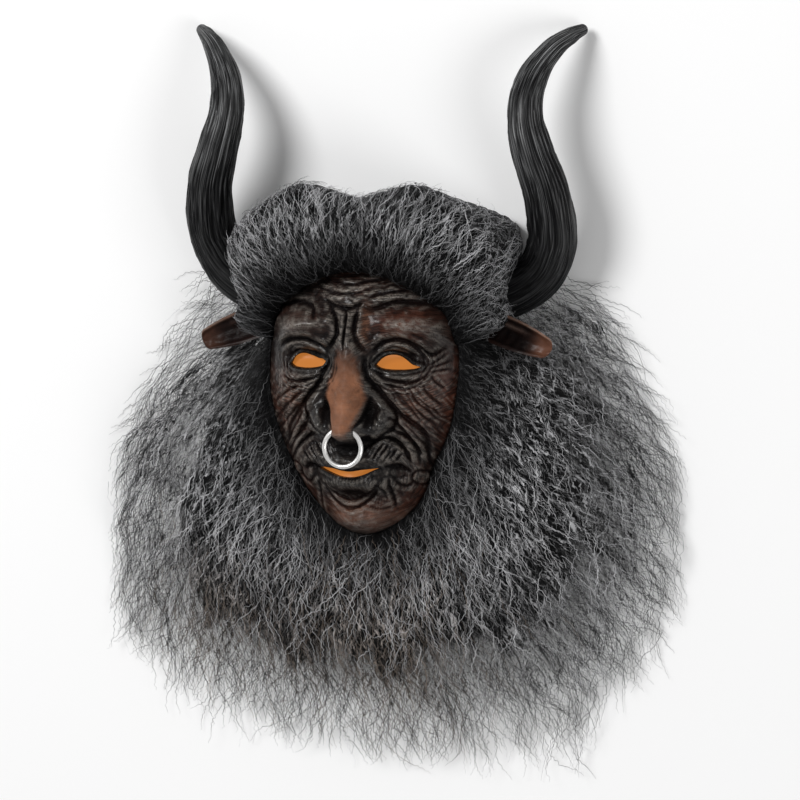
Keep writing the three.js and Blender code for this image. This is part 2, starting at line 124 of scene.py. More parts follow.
# Carved folds of the face: width, depth, and the points that the fold runs through. They aren't mirrored.
FOLDS = [
    (1.7, 4.4, [(11.6, 4.5), (13.6, -10), (24, -23.7), (40.3, -42.9), (54, -56.7), (57.2, -72.7)]),
    (1.7, 4.4, [(-18.9, -1.5), (-25.2, -15.9), (-40.7, -35.5), (-54.1, -53.9), (-57.1, -64)]),
    (1.3, 2.8, [(29.5, -40.3), (42.2, -56.6), (53.9, -76.9)]),
    (1.2, 2.4, [(29.8, -51.2), (43.8, -60.7), (49.5, -67.7), (50.2, -81.7)]),
    (1.2, 1.8, [(36, -44), (48, -57), (55, -70), (56, -84)]),
    (1.3, 2.8, [(10.4, -69.1), (17.7, -63.2), (27.3, -59.1), (35.4, -63.1), (41.7, -70.9), (45, -86)]),
    (1.3, 2.8, [(-38.9, -37.4), (-44.6, -47.3), (-51.3, -57.4), (-60, -70)]),
    (1.2, 2.4, [(-30, -57), (-36, -60.5), (-43.1, -66.7), (-50.7, -75.1), (-58, -84)]),
    (1.2, 1.8, [(-34, -47), (-40, -53), (-48, -63), (-57, -76)]),
    (0.9, 1.2, [(18.4, -76.1), (25.4, -64.1)]),
    (0.9, 1.2, [(21.8, -77), (28.6, -66)]),
    (0.9, 1.2, [(25.6, -78.5), (32.4, -69)]),
    (0.9, 1.2, [(29.7, -76.5), (36.3, -68)]),
    (0.9, 1.1, [(34, -78.5), (39.3, -72)]),
    (0.9, 1.2, [(-30.1, -64.5), (-21.6, -74.1), (-16.4, -79.6)]),
    (0.9, 1.2, [(-35, -69), (-27.6, -77.8)]),
    (0.9, 1.2, [(-41.5, -73.4), (-35.6, -81)]),
    (1.8, 3.4, [(25, -83.3), (34.8, -82.8), (40.3, -86.5), (42.6, -90.1)]),
    (1.3, 2.4, [(28.5, -90.9), (33.4, -98.2), (38.4, -100.6), (43, -97.3)]),
    (1.8, 3.4, [(-31, -84.5), (-38, -85), (-43.5, -89)]),
    (1.3, 2.4, [(-48, -87.7), (-47.6, -96.5), (-41.5, -99.9), (-34, -91.9)]),
    (1.2, 2.4, [(27.2, -91.6), (27.1, -105.2), (28.8, -120)]),
    (1.2, 2.2, [(-31, -98.3), (-33.4, -114.2), (-36, -130)]),
    (1.2, 2.2, [(-25.8, -99.2), (-20.7, -110.6), (-9.8, -116.9), (2, -116.9), (13.3, -108.1), (24.5, -91.4)]),
    (1.0, 1.6, [(-23.5, -100.7), (-16.2, -107.4), (-5.2, -111), (3, -109.9), (14.8, -102.6), (21.2, -93.7)]),
    (0.9, 1.0, [(17, -98), (22, -104), (24, -113)]),
    (0.9, 1.0, [(10, -116), (19, -119), (27, -117)]),
    (1.5, 3.6, [(4.6, 42.4), (3.6, 32.5), (3.9, 22.4), (8, 13.5), (13, 8)]),
    (1.0, 2.2, [(-5.1, 39.5), (-3.6, 30.5), (-3.6, 21.1), (-3, 6)]),
    (1.5, 3.6, [(-20.2, 43.4), (-14.6, 35.6), (-11.5, 26.9), (-11, 20.4), (-15, 13.4), (-20, 9)]),
    (1.6, 3.4, [(10.2, 40.6), (18, 40.8), (24, 42.5), (32.1, 45.6), (46.5, 44.8), (60, 43)]),
    (1.6, 3.4, [(-62, 40), (-48.8, 43.2), (-38, 42.2), (-33, 39), (-30.6, 33)]),
    (1.2, 1.8, [(-33.6, 55.9), (-20.7, 52.5), (-10.1, 51.3), (2, 52.3), (13, 56)]),
    (1.3, 2.2, [(-23.4, 47.4), (-17.3, 42.9), (-4.2, 40.3), (3.8, 42.5), (8.4, 45.8)]),
    (1.2, 1.6, [(-22.7, 60.5), (-5.8, 57.9), (7.8, 60.2), (22.2, 62.6)]),
    (1.2, 1.6, [(13.3, 48.9), (23.2, 52.1), (40, 53.3)]),
    (1.6, 3.6, [(15.8, 6), (24.4, 14.2), (34.9, 17), (43.3, 14.7), (48.7, 9.4), (57, -1)]),
    (1.6, 3.6, [
        (-65, 4.8), (-58.6, 11.8), (-50, 14.8), (-39.9, 15.7), (-32.9, 13.4), (-25.8, 10.4), (-19, 5),
    ]),
    (1.3, 2.0, [(48, 14), (53, 9.4), (58.3, 4.4), (64.1, 5.5), (69.9, 10.2)]),
    (0.9, 1.0, [(25, 8.5), (33, 11.2), (41, 8.8), (48, 2.5)]),
    (0.9, 1.0, [(-56, 5), (-49, 9.8), (-40, 10), (-31, 7.5)]),
    (1.2, 2.2, [(20.5, -7.5), (26.5, -12.5), (35.7, -15.4), (44.7, -16.7), (52, -14.9), (59.3, -9)]),
    (1.2, 2.2, [(-59.2, -14), (-48.8, -17.6), (-38.8, -16.7), (-28.5, -13.3), (-23.6, -8.8)]),
    (0.9, 1.1, [(27, -17), (36, -20), (46, -21), (54, -18)]),
    (0.9, 1.1, [(-56, -22), (-46, -22.5), (-36, -20.5), (-30, -17)]),
    (0.9, 1.3, [(57.7, -3.9), (63.7, -0.4), (70.5, 5.5)]),
    (0.9, 1.3, [(57.9, -6.2), (65.5, -3.8), (71.8, -1.3)]),
    (0.9, 1.3, [(59.2, -8.6), (65.7, -8), (71.5, -8)]),
    (1.0, 1.4, [(60.9, -13.6), (64.8, -18.6), (69, -22.4)]),
    (1.1, 1.7, [(56.6, -22.2), (60.5, -27.2), (66, -35)]),
    (1.1, 1.7, [(46, -24.4), (53.8, -34.1), (62, -43)]),
    (0.9, 1.2, [(51, -26), (57.5, -34), (64, -41)]),
    (1.1, 1.7, [(-71.3, -37.7), (-53.2, -25.9), (-43.4, -20.4)]),
    (1.1, 1.7, [(-72.6, -52.7), (-57.9, -39.4), (-44.9, -29.4), (-34.9, -21.7)]),
    (1.0, 1.4, [(-64.3, -57.1), (-52.5, -44.9), (-42.3, -34.8)]),
    (1.3, 2.8, [(-37.5, -30), (-37, -40), (-32, -50), (-23, -57)]),
    (1.3, 2.8, [(33, -34), (36, -44), (32, -53), (23, -58)]),
    (1.2, 2.0, [(-19, -30), (-15.4, -42), (-9, -51)]),
    (1.2, 2.0, [(18, -28), (13.5, -41), (8, -50)]),
]
FOLD_BANK = 0.5
DEEPEST = 3.4
# Fine stripes: how the wave runs across and up, its wavelength, how much it bends, and the soft spot that it
# fills
STRIPES = [
    (0.82, 0.57, 4.4, 2.2, (52, -38, 22, 26, 0.5)),
    (0.85, -0.5, 3.4, 1.5, (26, -72, 13, 8, 0.4)),
    (1, 0, 2.9, 0.8, (0, -96, 24, 6, 0.42)),
    (0, 1, 5.2, 2.5, (0, 54, 40, 12, 0.45)),
    (0.5, 1, 4.6, 2.5, (0, -112, 32, 9, 0.35)),
]
# Step and extent in x and y of the height map from which the paint reads hollows and ridges
MAP_STEP = 0.8
MAP_X = (-100, 100.1)
MAP_Y = (-165, 115.1)
FOLD_STEPS = 14
# Warts and swellings: x, y, radius, height
WARTS = [(49, -94.6, 4.6, 2.6), (-53, -90, 4.2, 2.2), (27.5, -41.5, 3.6, 1.6), (33.5, -88.5, 3.5, 1.2)]
# Openings: points along the lower and then the upper edge, both from the left corner to the right one
EYE_RIGHT = (
    [(19.1, -3), (22.5, -5.5), (28, -6.7), (34.9, -7.1), (41, -7), (48, -6.4), (52.5, -4.9)],
    [(19.1, -3), (22.5, 1.3), (27, 3.8), (32.1, 4.3), (37, 2.7), (41.5, -0.4), (46, -3), (52.5, -4.9)],
)
EYE_LEFT = (
    [(-52.8, -5), (-49, -6.9), (-43, -7.5), (-36.5, -7.4), (-29.5, -6.4), (-23.5, -4.4), (-21.2, -1)],
    [(-52.8, -5), (-50.3, 0.2), (-45, 3.1), (-40, 3.2), (-35.6, 2.2), (-28.5, 0.6), (-24, 0.3), (-21.2, -1)],
)
MOUTH = (
    [
        (-31.3, -85), (-23, -87.4), (-15.6, -89.6), (-8, -91.1), (-1.3, -91.5), (4, -91), (10.6, -89),
        (16, -86.4), (22.5, -83.7),
    ],
    [
        (-31.3, -85), (-23, -84.3), (-15.1, -84.7), (-8, -85.9), (-1, -86.5), (5, -85.8), (10.9, -84.8),
        (22.5, -83.7),
    ],
)
# Points along an edge, heights between which openings are cut, and the eyes' distance from the middle line
OPENING_STEPS = 30
OPENING_CUT = (40, 200)
EYE_AWAY = 36
LID_HIGH = 1.6
LID_GROOVE = 0.8
LIP_HIGH = 1.4
# Tan paint on the nose: half its width at heights up the face
NOSE_PAINT = ((-58, -45, -28, -8, 10), (6, 10.5, 17, 12, 8))
# Paint in soft spots, whose last number is its strength. Red and tan have mirrored spots, then single ones.
# Bare spots have no painted wrinkles.
RED_SPOTS = (
    [(55, -34, 22, 26, 0.85), (0, -124, 44, 16, 0.75), (0, 60, 40, 14, 0.4)],
    [
        (42, 29, 28, 13, 1.1), (-44, 29, 24, 12, 0.4), (78, -30, 14, 44, 0.7), (-50, -100, 14, 26, 0.5),
        (46, -108, 12, 24, 0.6),
    ],
)
TAN_SPOTS = ([(52, -30, 12, 12, 0.25), (0, -124, 30, 9, 0.3)], [(11, 27, 3.5, 14, 0.6)])
# Black spots: black paint on the lower lip, a painted shadow under the nose, and dark beside the outer corners
# of the eyes
BLACK_SPOTS = [(0, -97, 24, 7, 0.9), (0, -70, 16, 7, 0.75), (70, 8, 14, 18, 0.6)]
# Grey spots: where the grey of dry brush and painted highlights is strongest
GREY_SPOTS = [
    (44, 22, 26, 14, 0.3), (0, 52, 40, 12, 0.3), (22, -50, 10, 12, 0.5), (0, -96, 26, 10, 0.4),
    (40, -18, 22, 8, 0.35),
]
BARE_SPOTS = [(46, 30, 22, 12, 0.7), (0, -126, 40, 16, 0.7), (23, -46, 9, 12, 0.6)]
# The filled shell that cuts ears and horns: points round it, rows, and the height to which it goes down
SHELL_AROUND = 160
SHELL_ROWS = 40
SHELL_BELOW = -8
FILM_GAP = 0.4
FILM_THICK = 1.4
FILMS = {
    "eye_film_right": (36.5, 0, 21.5, 11),
    "eye_film_left": (-36.5, 0, 21.5, 11),
    "mouth_film": (0, -88, 29.5, 10),
}

# Horns and ears: centre line of the right one, as x, y, z, and the horn's radius at each of its points
HORN_LINE = np.array([
    (84, 41, 31), (111, 50, 31), (130, 65, 31), (139.5, 86, 37), (141, 107, 47), (137.5, 133, 57),
    (129.5, 159, 63), (123, 184, 61.5), (122.5, 204, 56.5), (128, 223, 48), (139, 240.5, 36),
    (150, 250.5, 22), (158, 255.5, 11),
], float)
HORN_RADII = np.array([20.5, 20.3, 20, 19.7, 19.2, 18, 16.3, 14.6, 13, 11, 8.6, 6.2, 4.2])
HORN_STEPS = 72
HORN_CAP_STEPS = 9
HORN_SIDES = 124
HORN_FLUTES = 29
# Size of the horn's map in metres, round it and along it
HORN_MAP = (0.12, 0.42)
EAR = {"root": (76, 30, 51), "tip": (138, 7, 58), "half_width": 13.0, "thick": 3.6, "cup": 8.0}
EAR_STEPS = 70
EAR_END_STEPS = 8
EAR_SIDES = 44
RING = {"centre": (0, -65, 158), "radius": 14.6, "wire": 1.8}
# Points round the ring and round its wire, then round a film and out across it
RING_AROUND = 120
RING_SIDES = 18
FILM_AROUND = 48
FILM_RINGS = 8

# Hair, in mm and degrees
HAIRLINE = {"crown": 0.69, "brow": 0.83, "side": 0.8, "chin": 0.885}
MANE = {
    "middle_y": -130.0, "radius": 230.0, "squat": 0.92, "lock_reach": 12.0, "waist": 12.0, "edge_high": 12.0,
    "beard_high": 72.0, "face_high": 84.0, "horn_high": 30.0, "swell": 0.75, "lock_high": 8.0,
    "root_high": 5.0,
}
MANE_TOP_ANGLE = 44.0
MANE_TOP_TURN = 54.0
MANE_WAIST = (22.0, 18.0)
# Where the mane's thinner bottom starts and is complete, below the eye line. No strand goes past the limits,
# across and down from the mane's middle.
MANE_BOTTOM = (230, 280)
MANE_LIMITS = (247, 230)
MANE_SEED = 22
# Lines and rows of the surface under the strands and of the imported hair, then the steps and lift of a strand
MANE_GRID = (320, 60)
PACK_GRID = (130, 48)
MANE_STEPS = 18
MANE_LIFT = (0.4, 5.0)
BEARD_ANGLE = -52.0
LOCKS_PER_TURN = 26
CROWN = {
    "end_angle": 20.0, "middle": 143.0, "lobe": 161.0, "end": 121.0, "high": 34.0, "end_high": 12.0,
    "lean": 24.0,
}
CROWN_LOBE_FROM_TOP = 20
CROWN_END_ROUND = 9.0
CROWN_SEED = 11
CROWN_GRID = (150, 46)
CROWN_STEPS = 16
# Strands of the crown: name, share of its tufts, and lowest and highest lift in mm
CROWN_LAYERS = (("crown_strands", 0.85, (0.4, 3.0)), ("crown_flyaways", 0.15, (2.0, 6.5)))
CROWN_MANNER = {"stray": 0.3, "restless": 0.13, "crimp": 0.7, "pace": 0.76}
CROWN_FALL_FROM_TOP = (40, 62)
CROWN_LEAN_FROM_TOP = (15, 45)
SKIN_GAP = 0.6
FLOOR_GAP = 0.3
BACK_ROWS = 16
# Width of the crown's map in metres for each radian of its roll
ACROSS_PER_RADIAN = 0.13
# The mane runs outwards at 1 and straight down at 0. Its fibre map has its true scale this far from the rim's
# middle.
FALL = 0.5
FLOW_TRUE_AT = 150.0
# The mane's reach at angles about its middle, and the share of that reach up to which the hair is packed
# closely. The pack starts to thin a bit before that share, and has thinned out a bit past the reach.
THINNING_LEAD = 0.22
THINNED_AT = 1.06
MANE_OUTLINE = (
    (-160, -142, -125, -103, -83, -62, -50, -28, -8, 14, 34, 46, 90, 130, 152, 169),
    (262, 272, 252, 232, 240, 266, 262, 248, 246, 238, 246, 246, 240, 244, 218, 240),
)
PACKED_SHARE = (
    (-160, -142, -125, -103, -83, -62, -50, -28, -8, 14, 46, 90, 130, 152),
    (0.73, 0.7, 0.66, 0.62, 0.6, 0.6, 0.66, 0.78, 0.82, 0.84, 0.84, 0.8, 0.76, 0.74),
)

# Paint and hair colours beside those that a painter would change, as linear red, green and blue
# Black of the skin, washed into hollows and wrinkles, which also paints their shade
SKIN_WASH_AND_SHADE = (0.0022, 0.0022, 0.0026)
RING_WORN = (0.6, 0.56, 0.52)
HAIR_BROWN = (0.55, 0.44, 0.36)
HAIR_FADED = (0.02, 0.019, 0.018)
# Shades of loose strands along their ramp: greys as shares of the lightest one, then browns
LIGHTEST_SHADE = 0.78
BROWN_SHADES = (0.83, 0.99)
STRAND_GREYS = ((0.0, 0.0), (0.3, 0.07), (0.55, 0.28), (LIGHTEST_SHADE, 1.0))
STRAND_BROWNS = ((0.82, (0.05, 0.035, 0.026)), (1.0, (0.30, 0.25, 0.21)))
# Painted wrinkles for each metre, and how far the kinks of packed fibres swing, in metres
WRINKLE_SCALE = 52.0
KINK_WIDTH = 0.0034
# Layers of packed fibres: tilt in radians and strength
FIBRE_LAYERS = ((-0.5, 0.8), (0.05, 1.0), (0.45, 0.9), (-0.2, 0.9))
# Gaps between fibres where the mane thins, from wide to narrow: scale across, scale along and strength
LOCK_GAPS = ((26.0, 7.0, 1.1), (95.0, 18.0, 0.9), (270.0, 36.0, 0.9))

# The photo's camera looks from 14 degrees to one side and 7 degrees above. Its target is in mm along its own
# axes.
CAMERA_YAW = np.radians(14)
CAMERA_PITCH = np.radians(7)
CAMERA_TARGET = (6.08, -46.1, 60)
CAMERA_AWAY = 2.4
FLOOR_HALF = 6.0
# Lights: name, place, target and size in metres, and power in watts
LIGHTS = (
    ("key", (-1.7, 1.9, 3.3), (0, 0.05, 0.08), 1.7, 125),
    ("fill", (2.6, -0.9, 2.8), (0, 0, 0.08), 1.6, 34),
)


def length_property(name, description, default):
    """A size in metres."""
    return FloatProperty(name=name, description=description, default=default, unit="LENGTH")


def count_property(name, description, default):
    """A number of pieces."""
    return IntProperty(name=name, description=description, default=default)


def colour_property(name, description, *default):
    """A colour as linear red, green and blue."""
    return FloatVectorProperty(name=name, description=description, default=default, subtype="COLOR")


class MaskSizes(bpy.types.PropertyGroup):
    """Sizes and counts that a maker would change."""

    strand_radius: length_property("Strand radius", "Half the width of one crimped tuft", 0.00021)
    strand_step: length_property("Strand step", "Length of one straight run between crimps", 0.0025)
    crimp: length_property("Crimp", "How far a strand waves to each side", 0.0008)
    flute_depth: length_property("Flute depth", "Depth of the grooves along the horns", 0.0009)
    crown_strands: count_property("Crown strands", "Tufts on the crown roll", 2100)
    side_strands: count_property("Side strands", "Tufts on each side mane", 1700)
    beard_strands: count_property("Beard strands", "Tufts on the beard", 1650)


class MaskColours(bpy.types.PropertyGroup):
    """Colours that a painter would change."""

    skin_dark: colour_property("Skin dark", "The black-brown under the paint", 0.012, 0.0085, 0.0074)
    skin_red: colour_property("Skin red", "Reddish brown of brows and cheeks", 0.098, 0.034, 0.021)
    skin_tan: colour_property("Skin tan", "Tan of the nose and chin", 0.27, 0.118, 0.064)
    # Skin grey is dry-brushed paint that also paints highlights on the ridges
    skin_grey: colour_property("Skin grey", "Dry-brushed grey on the ridges", 0.23, 0.205, 0.18)
    horn: colour_property("Horn", "Painted black of the horns", 0.004, 0.004, 0.0045)
    # Grey from rubbing that also paints the highlights of the flutes
    horn_rubbed_lit: colour_property("Horn worn", "Rubbed grey on the crests of the flutes", 0.36, 0.365, 0.37)
    ring: colour_property("Ring", "Polished silver", 0.95, 0.94, 0.92)
    film: colour_property("Film", "Orange film", 0.577, 0.195, 0.034)
    hair_dark: colour_property("Hair dark", "Darkest fibres", 0.002, 0.002, 0.0022)
    hair_light: colour_property("Hair light", "Lightest fibres", 0.80, 0.80, 0.82)
    floor: colour_property("Floor", "Pale floor", 0.93, 0.93, 0.93)


def smooth(x, low, high):
    """Rises from 0 at low to 1 at high along 3t^2 - 2t^3."""
    t = np.clip((x - low) / (high - low), 0, 1)
    return t * t * (3 - 2 * t)


def lerp(a, b, t):
    """In a straight line from a at 0 to b at 1."""
    return a + (b - a) * t


def placed(points):
    """Points in mm in the face's frame, as metres in the part's frame."""
    return (np.asarray(points, float) + (0, EYE_LINE, 0)) * MM


def waves(x, y, wavelength, seed, heading=0.0, spread=np.pi, count=9):
    """Smooth noise from about -1 to 1: a sum of cosines with wavelengths near the one given, whose directions
    lie within spread of heading."""
    rng = np.random.default_rng(seed)
    total = np.zeros(np.shape(x))
    for _ in range(count):
        turn = heading + rng.uniform(-spread, spread)
        rate = 2 * np.pi / (wavelength * rng.uniform(0.7, 1.4))
        total += np.cos((x * np.cos(turn) + y * np.sin(turn)) * rate + rng.uniform(0, 2 * np.pi))
    return total / np.sqrt(count / 2) / 1.6


def spline(points, count):
    """A Catmull-Rom curve through the points along the next to last axis, at count even steps of its
    parameter."""
    points = np.asarray(points, float)
    last = points.shape[-2] - 1
    place = np.linspace(0, last, count)
    i = np.minimum(place.astype(int), last - 1)
    t = (place - i)[:, None]
    a, b = points[..., np.maximum(i - 1, 0), :], points[..., i, :]
    c, d = points[..., i + 1, :], points[..., np.minimum(i + 2, last), :]
    return 0.5 * (2 * b + (c - a) * t + (2 * a - 5 * b + 4 * c - d) * t**2 + (3 * b - a - 3 * c + d) * t**3)


def unit(v):
    """Vectors divided by their lengths."""
    return v / np.maximum(np.linalg.norm(v, axis=-1, keepdims=True), 1e-12)


def rim_radius(angle, grow=0.0):
    """Egg-shaped outline about the rim's middle: a superellipse whose power and height differ above and
    below."""
    power = 2 + 0.3 * np.sin(angle)
    half_height = np.where(np.sin(angle) > 0, RIM["crown"] - RIM["middle"], RIM["middle"] - RIM["chin"])
    across = np.abs(np.cos(angle) / RIM["half_width"]) ** power
    up = np.abs(np.sin(angle) / half_height) ** power
    return (across + up) ** (-1 / power) + grow


def bell(x, middle, wide):
    """A bell curve of height 1: e to the minus squared distance from its middle, in units of its width."""
    return np.exp(-(((x - middle) / wide) ** 2))


def turns(count):
    """Angles that go evenly once round."""
    return np.arange(count) * 2 * np.pi / count


def from_middle(x, y):
    """Distance from the rim's middle, and the angle about it."""
    away = y - RIM["middle"]
    return np.hypot(x, away), np.arctan2(away, x)


def rim_share(x, y):
    """How far out a place lies, from 0 at the rim's middle to 1 at the rim."""
    radius, angle = from_middle(x, y)
    return radius / rim_radius(angle)


def nose_height(x, y):
    """A ridge that widens and rises from bridge to tip, then falls off steeply below it."""
    t = np.clip((NOSE["bridge_y"] - y) / (NOSE["bridge_y"] - NOSE["tip_y"]), 0, 1.6)
    wide = lerp(NOSE["bridge_wide"], NOSE["tip_wide"], np.minimum(t, 1))
    high = lerp(NOSE["bridge_high"], NOSE["tip_high"], np.minimum(t, 1) ** 0.9)
    ends = smooth(y, *NOSE_FALL) * smooth(NOSE_RISE[0] - y, 0, NOSE_RISE[1])
    return high * ends * np.exp(-(np.abs(x / wide) ** 2.4))


def blob(x, y, cx, cy, wide, tall, high=1.0):
    """A soft round spot: its height times e to the minus squared distance, in units of its reach each way."""
    return high * np.exp(-(((x - cx) / wide) ** 2) - ((y - cy) / tall) ** 2)


def mirrored_blob(x, y, cx, cy, wide, tall, high=1.0):
    """A soft round spot and its mirror image, or one alone on the middle line."""
    return blob(x, y, cx, cy, wide, tall, high) + (blob(x, y, -cx, cy, wide, tall, high) if cx else 0)


def spots(x, y, mirrored, single=(), start=0.0):
    """The sum of a start and of soft round spots, mirrored ones and single ones."""
    start = sum((mirrored_blob(x, y, *row) for row in mirrored), start)
    return sum((blob(x, y, *row) for row in single), start)


def plain_height(x, y):
    """The face without folds or texture: the dome, its rounded forms and the nose."""
    share = rim_share(x, y)
    dome = DOME["height"] * np.maximum(1 - share ** DOME["edge_power"], 0) ** (1 / DOME["top_power"])
    forms = spots(x, y, FORMS, UNEVEN_FORMS, nose_height(x, y))
    return np.where(share < 1, dome + forms * smooth(1 - share, 0, FORM_FADE), 0)


def height_at(height, y):
    """A height on the middle line, as one number."""
    return float(height(np.array(0.0), np.array(y)))


def fold_relief(x, y):
    """Every carved fold: the bell curve of the distance to its line, cut in, with a low bank raised on either
    side. It fades at both ends."""
    total = np.zeros(np.shape(x))
    for wide, deep, line in FOLDS:
        path = spline(line, FOLD_STEPS)
        reach = 6 * wide
        near = (x > path[:, 0].min() - reach) & (x < path[:, 0].max() + reach)
        near &= (y > path[:, 1].min() - reach) & (y < path[:, 1].max() + reach)
        spot = np.stack([x[near], y[near]], -1)[:, None]
        start, run = path[None, :-1], path[None, 1:] - path[None, :-1]
        along = np.clip(((spot - start) * run).sum(-1) / (run**2).sum(-1), 0, 1)
        away = np.linalg.norm(spot - start - along[..., None] * run, axis=-1)
        nearest = away.argmin(1)
        rows = np.arange(len(spot))
        place = (nearest + along[rows, nearest]) / (len(path) - 1)
        away = away[rows, nearest]
        fade = 0.25 + 0.75 * smooth(place, 0, 0.25) * smooth(1 - place, 0, 0.25)
        bank = FOLD_BANK * bell(away, 2.9 * wide, 1.7 * wide)
        total[near] += deep * fade * (bank - bell(away, 0, wide))
    return total


def opening_outline(opening):
    """A closed outline in the plane: out along the lower edge and back along the upper edge."""
    lower, upper = (spline(edge, OPENING_STEPS) for edge in opening)
    return np.concatenate([lower[:-1], upper[:0:-1]])


def from_outline(x, y, opening):
    """Distance to an opening's outline."""
    outline = opening_outline(opening)
    near = np.full(np.shape(x), 1e3)
    for px, py in outline:
        near = np.minimum(near, np.hypot(x - px, y - py))
    return near


def skin_texture(x, y):
    """Fine wrinkles: rings round the eyes, stripes on cheeks, lips, brow and chin, and soft lumps everywhere.
    Each is the sine of a place in wavelengths, bent by a warp, within a soft spot."""
    warp = waves(x, y, 14, 11)
    eye = np.hypot(np.abs(x) - EYE_AWAY, (y + 3) * 1.25)
    rings = np.sin(2 * np.pi * eye / 3.6 + 1.6 * warp) * smooth(eye, 15, 20) * smooth(34 - eye, 0, 10)
    total = 0.42 * (rings * smooth(-y, -14, 4))
    for across, up, wavelength, bend, spot in STRIPES:
        side = np.abs(x) if spot[0] else x
        stripe = np.sin(2 * np.pi * (across * side + up * y) / wavelength + bend * warp)
        total = total + stripe * mirrored_blob(x, y, *spot)
    lumps = 0.4 * waves(x, y, 11, 5) + 0.15 * waves(x, y, 5.5, 6)
    return total + lumps * (1 - mirrored_blob(x, y, 20, -44, 12, 18, 0.7))


def lid_relief(x, y):
    """A thin rim round each eye opening and low lips round the mouth, from the distance to their outlines."""
    relief = np.zeros(np.shape(x))
    for eye in (EYE_RIGHT, EYE_LEFT):
        away = from_outline(x, y, eye)
        relief += LID_HIGH * bell(away, 1.3, 1.1) - LID_GROOVE * bell(away, 3.4, 0.9)
    return relief + LIP_HIGH * bell(from_outline(x, y, MOUTH), 2.6, 2.2)


def face_detail(x, y):
    """What is carved on the plain face, never deeper than the wall allows: folds, lids, warts and texture."""
    relief = fold_relief(x, y) + lid_relief(x, y) + skin_texture(x, y)
    for cx, cy, radius, high in WARTS:
        away = np.hypot(x - cx, y - cy) / radius
        relief += high * np.exp(-(away**4)) - 0.5 * high * bell(away, 1.4, 0.25)
    relief = np.where(relief < 0, -DEEPEST * np.tanh(-relief / DEEPEST), relief)
    return relief * smooth(1 - rim_share(x, y), 0, 0.2)


def face_height(x, y):
    """The plain face and, within its rim, its detail."""
    return plain_height(x, y) + np.where(rim_share(x, y) < 1, face_detail(x, y), 0)


def inside_height(x, y):
    """The shell's inside: as low as a ball of the wall's thickness pushes it from each plain place near by,
    so that the folds, which are less deep, don't break through."""
    low = plain_height(x, y) - WALL
    for turn in turns(12):
        for reach in (0.5, 0.95):
            near = plain_height(x + reach * WALL * np.cos(turn), y + reach * WALL * np.sin(turn))
            low = np.minimum(low, near - WALL * np.sqrt(1 - reach * reach))
    return np.maximum(low, 0)


def grid_faces(rows, columns, closed=False, start=0, flip=False):
    """Quads of a grid of points kept row by row. A closed grid joins its last column to its first."""
    i = np.arange(rows - 1)[:, None]
    j = np.arange(columns if closed else columns - 1)[None, :]
    a, b = i * columns + j, i * columns + (j + 1) % columns
    quads = np.stack([a, b, b + columns, a + columns], -1).reshape(-1, 4) + start
    return quads[:, ::-1] if flip else quads


def signed_volume(points, faces):
    """Six times the volume inside the faces, from triple products of their corners. It is negative if they
    point inwards."""
    total = 0.0
    for block in faces:
        for k in range(1, block.shape[1] - 1):
            a, b, c = points[block[:, 0]], points[block[:, k]], points[block[:, k + 1]]
            total += np.einsum("ij,ij->", a, np.cross(b, c))
    return total


def add_piece(name, points, faces, material, maps=None):
    """A mesh object from points in mm, blocks of faces with the same number of corners, and maps of UVs per
    corner. Its faces are turned to point outwards."""
    if signed_volume(np.asarray(points, float), faces) < 0:
        faces = [block[:, ::-1] for block in faces]
        maps = {key: [uv[:, ::-1] for uv in blocks] for key, blocks in (maps or {}).items()}
    mesh = bpy.data.meshes.new(name)
    mesh.vertices.add(len(points))
    mesh.vertices.foreach_set("co", placed(points).astype(np.float32).ravel())
    corners = np.concatenate([block.ravel() for block in faces])
    counts = np.concatenate([np.full(len(block), block.shape[1]) for block in faces])
    mesh.loops.add(len(corners))
    mesh.loops.foreach_set("vertex_index", corners.astype(np.int32))
    mesh.polygons.add(len(counts))
    mesh.polygons.foreach_set("loop_start", (np.cumsum(counts) - counts).astype(np.int32))
    for key, blocks in (maps or {}).items():
        layer = mesh.uv_layers.new(name=key)
        layer.uv.foreach_set("vector", np.concatenate([uv.ravel() for uv in blocks]).astype(np.float32))
    mesh.update(calc_edges=True)
    mesh.validate()
    mesh.polygons.foreach_set("use_smooth", np.ones(len(mesh.polygons), bool))
    mesh.materials.append(material)
    piece = bpy.data.objects.new(name, mesh)
    bpy.context.scene.collection.objects.link(piece)
    return piece


def settle(piece, slot, *nodes):
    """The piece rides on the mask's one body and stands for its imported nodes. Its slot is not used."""
    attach(piece, "root")
    if nodes:
        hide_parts(*nodes)
    return piece


def set_values(mesh, name, values):
    """A float attribute on the mesh's vertices."""
    mesh.attributes.new(name, "FLOAT", "POINT").data.foreach_set("value", values.astype(np.float32))


def vertices_mm(mesh):
    """The mesh's vertices in mm in the face's frame."""
    co = np.empty(len(mesh.vertices) * 3, np.float32)
    mesh.vertices.foreach_get("co", co)
    return co.reshape(-1, 3) / MM - (0, EYE_LINE, 0)


def without(piece, cutters):
    """The piece less the cutters, by an exact boolean whose result is kept as the piece's mesh."""
    for cutter in cutters:
        cut = piece.modifiers.new("cut", "BOOLEAN")
        cut.operation, cut.solver, cut.object = "DIFFERENCE", "EXACT", cutter
    bpy.context.view_layer.update()
    mesh = bpy.data.meshes.new_from_object(piece.evaluated_get(bpy.context.evaluated_depsgraph_get()))
    piece.modifiers.clear()
    old, piece.data = piece.data, mesh
    bpy.data.meshes.remove(old)
    mesh.name = piece.name
    return piece


def prism(outline, low, high):
    """A closed upright prism over an outline in the plane."""
    count = len(outline)
    points = np.concatenate([np.c_[outline, np.full(count, z)] for z in (low, high)])
    caps = np.stack([np.arange(count)[::-1], np.arange(count) + count])
    return points, [grid_faces(2, count, closed=True), caps]


# Shader helpers


